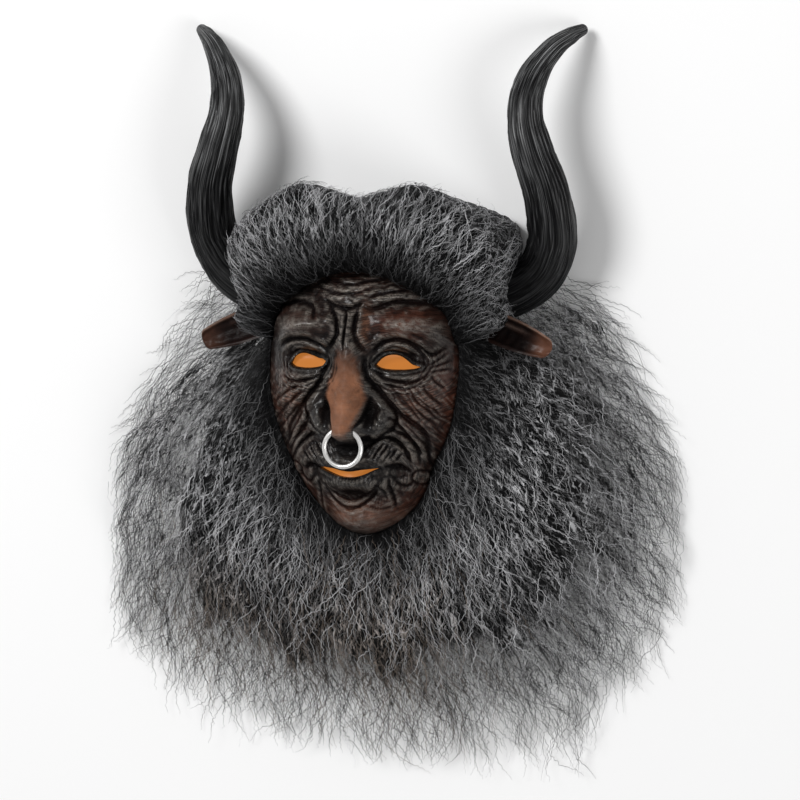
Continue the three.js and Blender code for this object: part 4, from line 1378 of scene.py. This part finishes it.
def crown_lines(sections, rows):
    """The crown roll's upper side: lines from the hairline up over the two lobes and down to the floor."""
    degrees = np.linspace(CROWN["end_angle"], 180 - CROWN["end_angle"], sections)
    angle = np.radians(degrees)
    from_top = np.abs(degrees - 90)
    root = hairline_radius(angle)
    fall = smooth(from_top, *CROWN_FALL_FROM_TOP)
    tuft = np.abs(np.sin(degrees * 0.9 + 0.8 * np.sin(degrees * 0.21)))
    from_end = np.clip((90 - CROWN["end_angle"] - from_top) / CROWN_END_ROUND, 0, 1)
    rounded = np.sqrt(1 - (1 - from_end) ** 2)
    lobe = lerp(CROWN["middle"], CROWN["lobe"], smooth(from_top, 0, CROWN_LOBE_FROM_TOP))
    outer = lerp(rim_radius(angle, 8), lerp(lobe, CROWN["end"], fall) + 1.5 * tuft, rounded)
    skin = skin_under(angle, root)
    depth = outer - root
    lean = CROWN["lean"] * (1 - smooth(from_top, *CROWN_LEAN_FROM_TOP))
    plump = (lerp(CROWN["high"], CROWN["end_high"], fall) + 2.0 * tuft) * lerp(0.1, 1, rounded)
    floor_radius = np.maximum(outer - lean - 4, rim_radius(angle, 3))
    profile = [
        (root, skin + SKIN_GAP),
        (root - 2, skin + plump * 0.4),
        (root + depth * 0.1, skin + plump * 0.8),
        (root + depth * 0.3, skin + plump),
        (root + depth * 0.6, skin + plump),
        (root + depth * 0.85, skin + plump * 0.6),
        (outer - 7.2 + lean * 0.3, skin + plump * 0.1),
        (outer - lean * 0.3, skin * 0.6),
        (np.maximum(outer - lean * 0.65, floor_radius), skin * 0.25),
        (floor_radius, 0 * skin),
    ]
    lines = np.stack([about_middle(angle, r, z) for r, z in profile], 1)
    return angle, by_length(spline(lines, 60), rows)


def mane_lines(first, last, sections, rows, packed=False):
    """The mane's upper side between two angles: lines from the hairline out to its edge, over a mound that
    falls off with the square of the way out and carries locks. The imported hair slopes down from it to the
    floor."""
    degrees = np.linspace(first, last, sections)
    angle = np.radians(degrees)
    side = np.where(degrees < -90, -1, 1)
    rightward = np.where(side < 0, -180 - degrees, degrees)
    turn = -90 + (rightward + 90) * (MANE_TOP_TURN + 90) / (MANE_TOP_ANGLE + 90)
    phase = np.abs(angle + np.pi / 2) * LOCKS_PER_TURN
    lock = 0.6 * np.abs(np.sin(phase / 2)) + 0.4 * np.abs(np.sin(0.83 * phase + 1))
    waist = bell(turn, *MANE_WAIST)
    reach = MANE["radius"] + MANE["lock_reach"] * lock - MANE["waist"] * waist
    squat = np.where(turn < 0, MANE["squat"], 1)
    out_x = side * reach * np.cos(np.radians(turn))
    out_y = MANE["middle_y"] + reach * np.sin(np.radians(turn)) * squat
    root = hairline_radius(angle)
    start = about_middle(angle, root, 0)
    skin = skin_under(angle, root)[:, None]
    low = lerp(MANE["beard_high"], MANE["face_high"], smooth(rightward, -75, -40))
    high = lerp(low, MANE["horn_high"], smooth(rightward, -12, 32))[:, None]
    place = np.degrees(np.arctan2(out_y - MANE["middle_y"], out_x * squat))
    reach_share = (round_middle(place, MANE_OUTLINE) / reach)[:, None]
    t = (np.linspace(0, 1, 40) ** 1.2)[None, :] * reach_share
    inside = np.minimum(t, 1)
    edge = MANE["edge_high"] * (1 - 0.4 * inside)
    mound = (high - MANE["edge_high"]) * (1 - inside**2) * (1 + MANE["swell"] * inside)
    ridge = MANE["lock_high"] * lock[:, None] * np.minimum(3 * t, 1) * (1 - 0.6 * inside)
    over_skin = (skin + MANE["root_high"] - high) * (1 - smooth(t, 0, 0.25))
    z = edge + mound + ridge + over_skin
    if packed:
        z = z * (1 - 0.98 * smooth(t / reach_share, 0.4, 1))
    x = lerp(start[:, :1], out_x[:, None], t)
    y = lerp(start[:, 1:2], out_y[:, None], t)
    z[:, 0] = skin[:, 0] + SKIN_GAP
    return angle, by_length(np.stack([x, y, z], -1), rows)[0]


def round_middle(degrees, table):
    """A value at an angle about the mane's middle, from a table of angles and values that closes on
    itself."""
    return np.interp(degrees, *table, period=360)


def hair_body(name, angle, top, material, length=None):
    """A closed body of packed hair: the upper side, the floor, and the underside along the shell. Its map
    follows the lines if their mean length is given. If not, it falls as the mane does, and the hair thins
    towards its edge."""
    back = []
    for share in np.linspace(1, 0, BACK_ROWS):
        radius = lerp(hairline_radius(angle), rim_radius(angle, SKIN_GAP), share**0.6)
        z = skin_under(angle, radius - SKIN_GAP) + SKIN_GAP
        back.append(about_middle(angle, radius, np.where(share >= 1, FLOOR_GAP, z)))
    top = top.copy()
    top[..., 2] = np.maximum(top[..., 2], FLOOR_GAP)
    edge = top[:, -1:] * (1, 1, 0) + (0, 0, FLOOR_GAP)
    rings = np.concatenate([top, edge, np.stack(back, 1)], 1)
    rows, sides = top.shape[1], rings.shape[1]
    points, faces = tube(rings)
    if length:
        along = np.concatenate([np.linspace(0, 1, rows), np.ones(sides - rows)]) * length * MM
        across = angle[:, None] * ACROSS_PER_RADIAN + 0 * along
        flow = np.stack([across, along + 0 * across], -1).reshape(-1, 2)
        flow = np.concatenate([flow, flow[:1], flow[-1:]])
    else:
        flow = parabolic(points[:, 0], points[:, 1]) * MM
    body = add_piece(name, points, faces, material, {"flow": [flow[block] for block in faces]})
    x, y = vertices_mm(body.data)[:, :2].T
    # Painted shade beside the face
    set_values(body.data, "lit", lit_share(x, y))
    set_values(body.data, "brown", brown_share(x, y))
    if not length:
        share, degrees = outline_share(x, y)
        bottom = smooth(-y, *MANE_BOTTOM)
        packed = round_middle(degrees, PACKED_SHARE)
        set_values(body.data, "edge", (1 + 0.2 * bottom) * smooth(share, packed - THINNING_LEAD, THINNED_AT))
    return body


def lit_share(x, y):
    """How lit the hair is painted: near black beside the face from painted shade, most of all beside the
    cheeks, and light farther out."""
    radius, angle = from_middle(x, y)
    reach = lerp(44, 82, np.abs(np.cos(angle)) ** 1.5 * smooth(-np.sin(angle), -0.5, -0.1))
    return 0.05 + 0.95 * smooth(radius - hairline_radius(angle), 2, reach)


def brown_share(x, y):
    """How brown the hair is: most at the bottom of the beard and at the lower left."""
    return np.minimum(blob(x, y, 0, -262, 75, 75) + 0.8 * blob(x, y, -140, -230, 60, 55), 1)


def surface_at(lines, column, share):
    """Places on the grid of lines at a real column and a share of the way along, and past its end in a
    straight run."""
    count, rows = lines.shape[:2]
    column = np.clip(column, 0, count - 1.001)
    i = column.astype(int)
    u = (column - i)[..., None]
    row = np.clip(share, 0, 1) * (rows - 1)
    j = np.minimum(row.astype(int), rows - 2)
    v = (row - j)[..., None]
    near = lerp(lines[i, j], lines[i, j + 1], v)
    far = lerp(lines[i + 1, j], lines[i + 1, j + 1], v)
    run = lerp(lines[i, rows - 1] - lines[i, rows - 4], lines[i + 1, rows - 1] - lines[i + 1, rows - 4], u)
    return lerp(near, far, u) + np.maximum(share - 1, 0)[..., None] * unit(run) * 100


def surface_steps(lines, column, share):
    """How the place on a grid of lines moves with one column, and with a small step along the lines."""
    beside = surface_at(lines, column + 0.5, share) - surface_at(lines, column - 0.5, share)
    onward = surface_at(lines, column, share + 0.01) - surface_at(lines, column, share - 0.01)
    return beside, onward


def spread_starts(lines, count, rng, spans, crowding=None):
    """Columns and shares of places spread evenly over the area of a grid of lines, or as crowding weighs
    it."""
    column = rng.uniform(*spans[0], count * 8) * (len(lines) - 1)
    share = rng.uniform(*spans[1], count * 8)
    weight = np.linalg.norm(np.cross(*surface_steps(lines, column, share)), axis=-1)
    if crowding:
        weight = weight * crowding(surface_at(lines, column, share), share)
    chosen = rng.uniform(0, 1, len(weight)) < weight / np.quantile(weight, 0.995)
    return column[chosen][:count], share[chosen][:count]


def walked(lines, starts, step, steps, rng, heading, restless, stray):
    """Paths over a grid of lines, and the directions straight up from it. Each path goes on from its start
    in even steps along the heading, or along its line where there is none, and turns a little at random."""
    column, share = (np.array(v) for v in starts)
    turned = rng.normal(0, stray, len(column))
    base = np.empty((len(column), steps + 1, 3))
    up = np.empty_like(base)
    for k in range(steps + 1):
        place = surface_at(lines, column, share)
        beside, onward = surface_steps(lines, column, share)
        onward = onward / 0.02
        base[:, k] = place
        up[:, k] = unit(np.cross(beside, onward))
        if heading:
            towards = heading(place[:, 0], place[:, 1]) + turned
            dx, dy = np.cos(towards), np.sin(towards)
            det = beside[:, 0] * onward[:, 1] - beside[:, 1] * onward[:, 0]
            det = np.where(np.abs(det) < 1e-3, 1e-3, det)
            go_column = (dx * onward[:, 1] - dy * onward[:, 0]) / det
            go_share = (beside[:, 0] * dy - beside[:, 1] * dx) / det
        else:
            go_column = np.sin(turned) / np.maximum(np.linalg.norm(beside, axis=-1), 1e-6)
            go_share = np.cos(turned) / np.maximum(np.linalg.norm(onward, axis=-1), 1e-6)
        went = np.linalg.norm(beside * go_column[:, None] + onward * go_share[:, None], axis=-1)
        went = np.maximum(went, 1e-6)
        column = np.clip(column + go_column * step / went, 0.5, len(lines) - 1.5)
        share = np.maximum(share + go_share * step / went, 0.011)
        turned = turned * 0.93 + rng.normal(0, restless, len(column))
    return base, np.where(up[..., 2:].mean(1, keepdims=True) < 0, -up, up)


def strand_paths(
    lines, starts, steps, rng, lift, heading=None, restless=0.16, stray=0.42, crimp=1.0, pace=1.0
):
    """Crimped strands over a grid of lines: paths that rise by their lift and zigzag from step to step."""
    count = len(starts[0])
    sizes = bpy.context.scene.mask_sizes
    step = pace * sizes.strand_step / MM * rng.uniform(0.8, 1.3, count)
    base, up = walked(lines, starts, step, steps, rng, heading, restless, stray)
    onward = unit(np.gradient(base, axis=1))
    beside = unit(np.cross(up, onward))
    far = np.linspace(0, 1, steps + 1)
    past_body = smooth(starts[1], 0.9, 1.05) * 3
    rise = rng.uniform(*lift, count)[:, None] * (0.1 + 0.9 * far**1.3)
    rise = rise + (rng.uniform(-0.1, 0.9, count) * (1 + past_body))[:, None]
    zigzag = np.where(np.arange(steps + 1) % 2, 1.0, -1.0)[None, :] * (crimp * sizes.crimp / MM)
    sideways = zigzag * rng.uniform(-0.3, 1.6, (count, steps + 1)) * rng.uniform(0.7, 1.3, count)[:, None]
    upward = zigzag * rng.uniform(-0.6, 0.6, (count, steps + 1))
    return base + beside * sideways[..., None] + up * (rise + upward)[..., None]


def keep_clear(path, side_margin=0.6):
    """Which strands stay out of the horns and out of the ears beyond their roots."""
    keep = np.ones(len(path), bool)
    for side in (1, -1):
        line = spline(HORN_LINE * (side, 1, 1), 50)
        radius = spline(np.c_[HORN_RADII, HORN_RADII], 50)[:, 0]
        for centre, reach in zip(line[4:], radius[4:]):
            keep &= (np.linalg.norm(path - centre, axis=-1) > reach + side_margin).all(1)
        root, tip = ear_ends(side)
        for t in np.linspace(0.34, 1.05, 22):
            width = 0.85 * ear_half_width(min(t, 1))
            offset = (path - lerp(root, tip, t)) / (width, width, 12)
            keep &= (np.linalg.norm(offset, axis=-1) > 1).all(1)
    return keep


def add_strands(name, path, shade, material, node_name, thickness=1.0):
    """Closed three-sided tapered tubes along the paths, each with one shade on the map's u and root to tip on
    its v."""
    radius = bpy.context.scene.mask_sizes.strand_radius / MM * thickness
    path = path.copy()
    path[..., 2] = np.maximum(path[..., 2], 0.9)
    count, rings = path.shape[:2]
    far = np.linspace(0, 1, rings)
    taper = radius * (1 - 0.6 * smooth(far, 0.55, 1)) * (0.7 + 0.3 * smooth(far, 0, 0.08))
    onward = unit(np.gradient(path, axis=1))
    side = unit(np.cross(onward, (0.13, 0.21, 0.97)))
    up = np.cross(side, onward)
    turn = turns(3)
    ring = side[:, :, None] * np.cos(turn)[:, None] + up[:, :, None] * np.sin(turn)[:, None]
    points = path[:, :, None] + ring * taper[None, :, None, None]
    per = rings * 3
    quads = grid_faces(rings, 3, closed=True)
    ends = np.array([[0, 2, 1], [per - 3, per - 2, per - 1]])
    shift = (np.arange(count) * per)[:, None, None]
    blocks = [(quads + shift).reshape(-1, 4), (ends + shift).reshape(-1, 3)]
    wide = 1 / 64
    u = np.clip(shade, 0, 1)[:, None, None] * (1 - wide)
    k = np.arange(3)
    left = np.tile(k, rings - 1) * wide / 3
    right = left + wide / 3
    low = np.repeat(far[:-1], 3)
    high = np.repeat(far[1:], 3)
    quad_u = np.stack([left, right, right, left], -1)
    quad_v = np.broadcast_to(np.stack([low, low, high, high], -1), (count, len(low), 4))
    quad_uv = np.stack([quad_u[None] + u, quad_v], -1).reshape(-1, 4, 2)
    cap_u = np.array([[0, wide, wide / 2], [0, wide, wide / 2]])
    cap_v = np.array([[0, 0, 0.01], [1, 1, 0.99]])
    cap_uv = np.stack([cap_u[None] + u, np.broadcast_to(cap_v, (count, 2, 3))], -1).reshape(-1, 3, 2)
    piece = add_piece(name, points.reshape(-1, 3), blocks, material, {"OFBake": [quad_uv, cap_uv]})
    return settle(piece, "grey_hair", node_name)


def make_pair(make, name, material):
    """The left and the right piece of a pair, both cut by the filled shell."""
    shell = filled_shell(FILM_GAP, material)
    make(name + "_left", -1, shell, material)
    make(name + "_right", 1, shell, material)
    bpy.data.objects.remove(shell)


class MaskOperator:
    """What the mask's operators share: each can be undone."""

    bl_options = {"REGISTER", "UNDO"}


class MASK_OT_face(MaskOperator, bpy.types.Operator):
    """Builds the carved and painted face with its openings, and the two ears"""

    bl_idname = "mask.face"
    bl_label = "Face and ears"

    def execute(self, context):
        skin = skin_material(context.scene.mask_colours)
        make_face(skin)
        make_pair(make_ear, "ear", skin)
        return {"FINISHED"}


class MASK_OT_horns(MaskOperator, bpy.types.Operator):
    """Builds the two fluted horns"""

    bl_idname = "mask.horns"
    bl_label = "Horns"

    def execute(self, context):
        make_pair(make_horn, "horn", horn_material(context.scene.mask_colours))
        return {"FINISHED"}


class MASK_OT_ring(MaskOperator, bpy.types.Operator):
    """Builds the silver ring through the nose"""

    bl_idname = "mask.ring"
    bl_label = "Nose ring"

    def execute(self, context):
        make_ring(ring_material(context.scene.mask_colours))
        return {"FINISHED"}


class MASK_OT_films(MaskOperator, bpy.types.Operator):
    """Builds the orange films behind the eye and mouth openings"""

    bl_idname = "mask.films"
    bl_label = "Films"

    def execute(self, context):
        orange = film_material(context.scene.mask_colours)
        for name in FILMS:
            make_film(name, orange)
        return {"FINISHED"}


class MASK_OT_crown(MaskOperator, bpy.types.Operator):
    """Builds the two-lobed roll of hair over the brow"""

    bl_idname = "mask.crown"
    bl_label = "Crown hair"

    def execute(self, context):
        colours = context.scene.mask_colours
        angle, (top, lengths) = crown_lines(*CROWN_GRID)
        fibres = fibre_material("crown_fibres", colours, 0.56)
        settle(hair_body("crown_roll", angle, top, fibres, lengths.mean()), "grey_hair", "crown_hair")
        rng = np.random.default_rng(CROWN_SEED)
        strands = strand_material(colours)
        for name, share, lift in CROWN_LAYERS:
            count = int(context.scene.mask_sizes.crown_strands * share)
            starts = spread_starts(top, count, rng, ((0.0, 1.0), (0.0, 0.97)))
            path = strand_paths(top, starts, CROWN_STEPS, rng, lift, **CROWN_MANNER)
            keep = keep_clear(path)
            # Strands beside the face are darkened by painted shade
            shade = two_greys(len(path), rng, 0.6) * lerp(0.5, 1, lit_share(path[:, 5, 0], path[:, 5, 1]))
            add_strands(name, path[keep], shade[keep], strands, "crown_hair", 0.85)
        return {"FINISHED"}


class MASK_OT_mane(MaskOperator, bpy.types.Operator):
    """Builds the two side manes and the beard"""

    bl_idname = "mask.mane"
    bl_label = "Mane and beard"

    def execute(self, context):
        colours, sizes = context.scene.mask_colours, context.scene.mask_sizes
        fibres = fibre_material("mane_fibres", colours, 0.7, thinning=True)
        strands = strand_material(colours)
        rng = np.random.default_rng(MANE_SEED)
        lowest, highest = -180 - MANE_TOP_ANGLE, MANE_TOP_ANGLE
        parts = (
            ("side_hair_right", BEARD_ANGLE + 0.3, highest, sizes.side_strands),
            ("side_hair_left", lowest, -180 - BEARD_ANGLE - 0.3, sizes.side_strands),
            ("beard", -180 - BEARD_ANGLE, BEARD_ANGLE, sizes.beard_strands),
        )
        whole = mane_lines(lowest, highest, *MANE_GRID)[1]
        for name, first, last, count in parts:
            body = hair_body(name + "_pack", *mane_lines(first, last, *PACK_GRID, packed=True), fibres)
            settle(body, "grey_hair", name)
            columns = tuple((v - lowest) / (highest - lowest) for v in (first, last))
            starts = spread_starts(whole, int(count * 1.5), rng, (columns, (0.0, 1.03)), mane_crowding)
            path = strand_paths(whole, starts, MANE_STEPS, rng, MANE_LIFT, heading=fall_heading, crimp=0.85)
            path = drooped(path, rng)
            keep = keep_clear(path) & within_mane(path, rng)
            path = path[keep][:count]
            add_strands(name + "_strands", path, mane_shades(path, rng), strands, name)
        return {"FINISHED"}


def mane_crowding(place, share):
    """How closely strands of the mane stand: none under the crown, more towards the ragged edge, less at the
    bottom."""
    away, angle = from_middle(place[:, 0], place[:, 1])
    under_crown = (np.abs(np.degrees(angle) - 90) < 76) & (away < CROWN["end"] - 2)
    bottom = smooth(-place[:, 1], *MANE_BOTTOM) * smooth(share, 0.6, 0.8)
    crowding = 1 + 0.6 * smooth(share, 0.5, 0.65) + 1.3 * smooth(-share, -0.16, 0)
    return np.where(under_crown, 0.0, 1.0) * crowding * (1 - 0.5 * bottom)


def from_mane_middle(x, y):
    """Distance from the mane's middle and angle about it, in the plane, with the lower half stretched to a
    full round."""
    down = y - MANE["middle_y"]
    down = np.where(down < 0, down / MANE["squat"], down)
    return np.hypot(x, down), np.arctan2(down, x)


def outline_share(x, y):
    """How far out a place lies, from 0 at the mane's middle to 1 at its outline, and its angle in degrees."""
    reach, angle = from_mane_middle(x, y)
    degrees = np.degrees(angle)
    return reach / round_middle(degrees, MANE_OUTLINE), degrees


def drooped(path, rng):
    """Strands that sink towards the floor as they run outwards, each by its own share, so that they fill the
    mane's depth."""
    outer = smooth(outline_share(path[..., 0], path[..., 1])[0], 0.4, 0.85)
    path[..., 2] *= lerp(1, rng.uniform(0.1, 1, (len(path), 1)) ** 0.8, outer)
    return path


def within_mane(path, rng):
    """Which strands end inside the mane's ragged outline."""
    reach, angle = from_mane_middle(path[..., 0], path[..., 1])
    ragged = round_middle(np.degrees(angle), MANE_OUTLINE)
    ragged = ragged + 6 * np.sin(11 * angle) + 5 * np.sin(19 * angle + 1) + 10
    ragged = ragged + rng.normal(0, 10, (len(path), 1))
    half_width, down = MANE_LIMITS
    inside_box = (np.abs(path[..., 0]) < half_width) & (path[..., 1] > MANE["middle_y"] - down)
    return ((reach < ragged) & inside_box).all(1)


def two_greys(count, rng, light_share):
    """Shades of mixed black and grey hair: a share of light strands among dark ones."""
    light = rng.uniform(0, 1, count) < light_share
    grey = np.clip(rng.normal(0.69, 0.09, count), 0.4, LIGHTEST_SHADE)
    return np.where(light, grey, rng.uniform(0.0, 0.34, count))


def mane_shades(path, rng):
    """Shades of the mane's strands: dark beside the face from painted shade, grey farther out, darker again
    at the thin edge, and some brown at the bottom."""
    x, y = path[:, path.shape[1] // 2, :2].T
    share, degrees = outline_share(x, y)
    fringe = smooth(share / round_middle(degrees, PACKED_SHARE), 0.95, 1.15)
    shade = two_greys(len(path), rng, 0.54 - 0.26 * fringe) * lerp(0.6, 1.0, lit_share(x, y))
    brown = rng.uniform(0, 1, len(path)) < 0.6 * brown_share(x, y)
    return np.where(brown, rng.uniform(*BROWN_SHADES, len(path)), np.clip(shade, 0, LIGHTEST_SHADE))


def on_stage(name, data):
    """An object of the stage, which isn't part of the mask."""
    thing = bpy.data.objects.new(name, data)
    bpy.context.scene.collection.objects.link(thing)
    return thing


def area_light(name, place, target, size, power):
    """A round light that shines from its place towards its target."""
    data = bpy.data.lights.new(name, "AREA")
    data.shape, data.size, data.energy = "DISK", size, power
    light = on_stage(name, data)
    light.location = place
    light.rotation_euler = (Vector(target) - Vector(place)).to_track_quat("-Z", "Y").to_euler()


def add_floor(shade):
    """A wide matt square in the plane that the mask lies on."""
    material, _, surface = new_material("pale_floor")
    fill(surface, {"Base Color": shade, "Roughness": 0.9})
    mesh = bpy.data.meshes.new("floor")
    corners = [(x * FLOOR_HALF, y * FLOOR_HALF, 0) for x, y in ((-1, -1), (1, -1), (1, 1), (-1, 1))]
    mesh.from_pydata(corners, [], [(0, 1, 2, 3)])
    mesh.materials.append(material)
    on_stage("floor", mesh)


def add_camera():
    """The photo's camera: its right, up and back are turned by its yaw and tilted by its pitch."""
    (yaw_cos, yaw_sin), (pitch_cos, pitch_sin) = ((np.cos(a), np.sin(a)) for a in (CAMERA_YAW, CAMERA_PITCH))
    right = np.array([yaw_cos, 0, -yaw_sin])
    up = np.array([-yaw_sin * pitch_sin, pitch_cos, -yaw_cos * pitch_sin])
    back = np.array([yaw_sin * pitch_cos, pitch_sin, yaw_cos * pitch_cos])
    axes = np.stack([right, up, back], 1)
    data = bpy.data.cameras.new("camera")
    data.lens, data.sensor_width = 135, 36
    data.clip_start, data.clip_end = 0.1, 20
    camera = bpy.data.objects.new("camera", data)
    place = placed(axes @ CAMERA_TARGET) + back * CAMERA_AWAY
    camera.matrix_world = Matrix(np.c_[axes, place].tolist() + [[0, 0, 0, 1]])
    bpy.context.scene.collection.objects.link(camera)
    bpy.context.scene.camera = camera


class MASK_OT_stage(MaskOperator, bpy.types.Operator):
    """Sets the pale floor, the soft lights and the camera"""

    bl_idname = "mask.stage"
    bl_label = "Stage"

    def execute(self, context):
        add_floor(context.scene.mask_colours.floor)
        world = bpy.data.worlds.new("studio")
        world.use_nodes = True
        fill(world.node_tree.nodes["Background"], {"Color": (1, 1, 1), "Strength": 0.36})
        context.scene.world = world
        for name, place, target, size, power in LIGHTS:
            area_light(name, place, target, size, power)
        add_camera()
        context.scene.view_settings.view_transform = "Standard"
        return {"FINISHED"}


OPERATORS = (
    MASK_OT_face, MASK_OT_horns, MASK_OT_ring, MASK_OT_films, MASK_OT_crown, MASK_OT_mane, MASK_OT_stage,
)


class MASK_PT_panel(bpy.types.Panel):
    """Lists the mask's sizes, colours and pieces"""

    bl_idname = "MASK_PT_panel"
    bl_label = "Demon Mask"
    bl_space_type = "VIEW_3D"
    bl_region_type = "UI"
    bl_category = "Mask"

    def draw(self, context):
        for group in (context.scene.mask_sizes, context.scene.mask_colours):
            box = self.layout.box()
            for key in group.bl_rna.properties.keys():
                if key not in ("rna_type", "name"):
                    box.prop(group, key)
        for operator in OPERATORS:
            self.layout.operator(operator.bl_idname)


CLASSES = (MaskSizes, MaskColours, *OPERATORS, MASK_PT_panel)


def register():
    for cls in CLASSES:
        bpy.utils.register_class(cls)
    bpy.types.Scene.mask_sizes = PointerProperty(type=MaskSizes)
    bpy.types.Scene.mask_colours = PointerProperty(type=MaskColours)


def unregister():
    del bpy.types.Scene.mask_colours
    del bpy.types.Scene.mask_sizes
    for cls in reversed(CLASSES):
        bpy.utils.unregister_class(cls)


def main():
    register()
    bpy.ops.mask.face()
    bpy.ops.mask.horns()
    bpy.ops.mask.ring()
    bpy.ops.mask.films()
    bpy.ops.mask.crown()
    bpy.ops.mask.mane()
    bpy.ops.mask.stage()


if __name__ == "__main__":
    main()
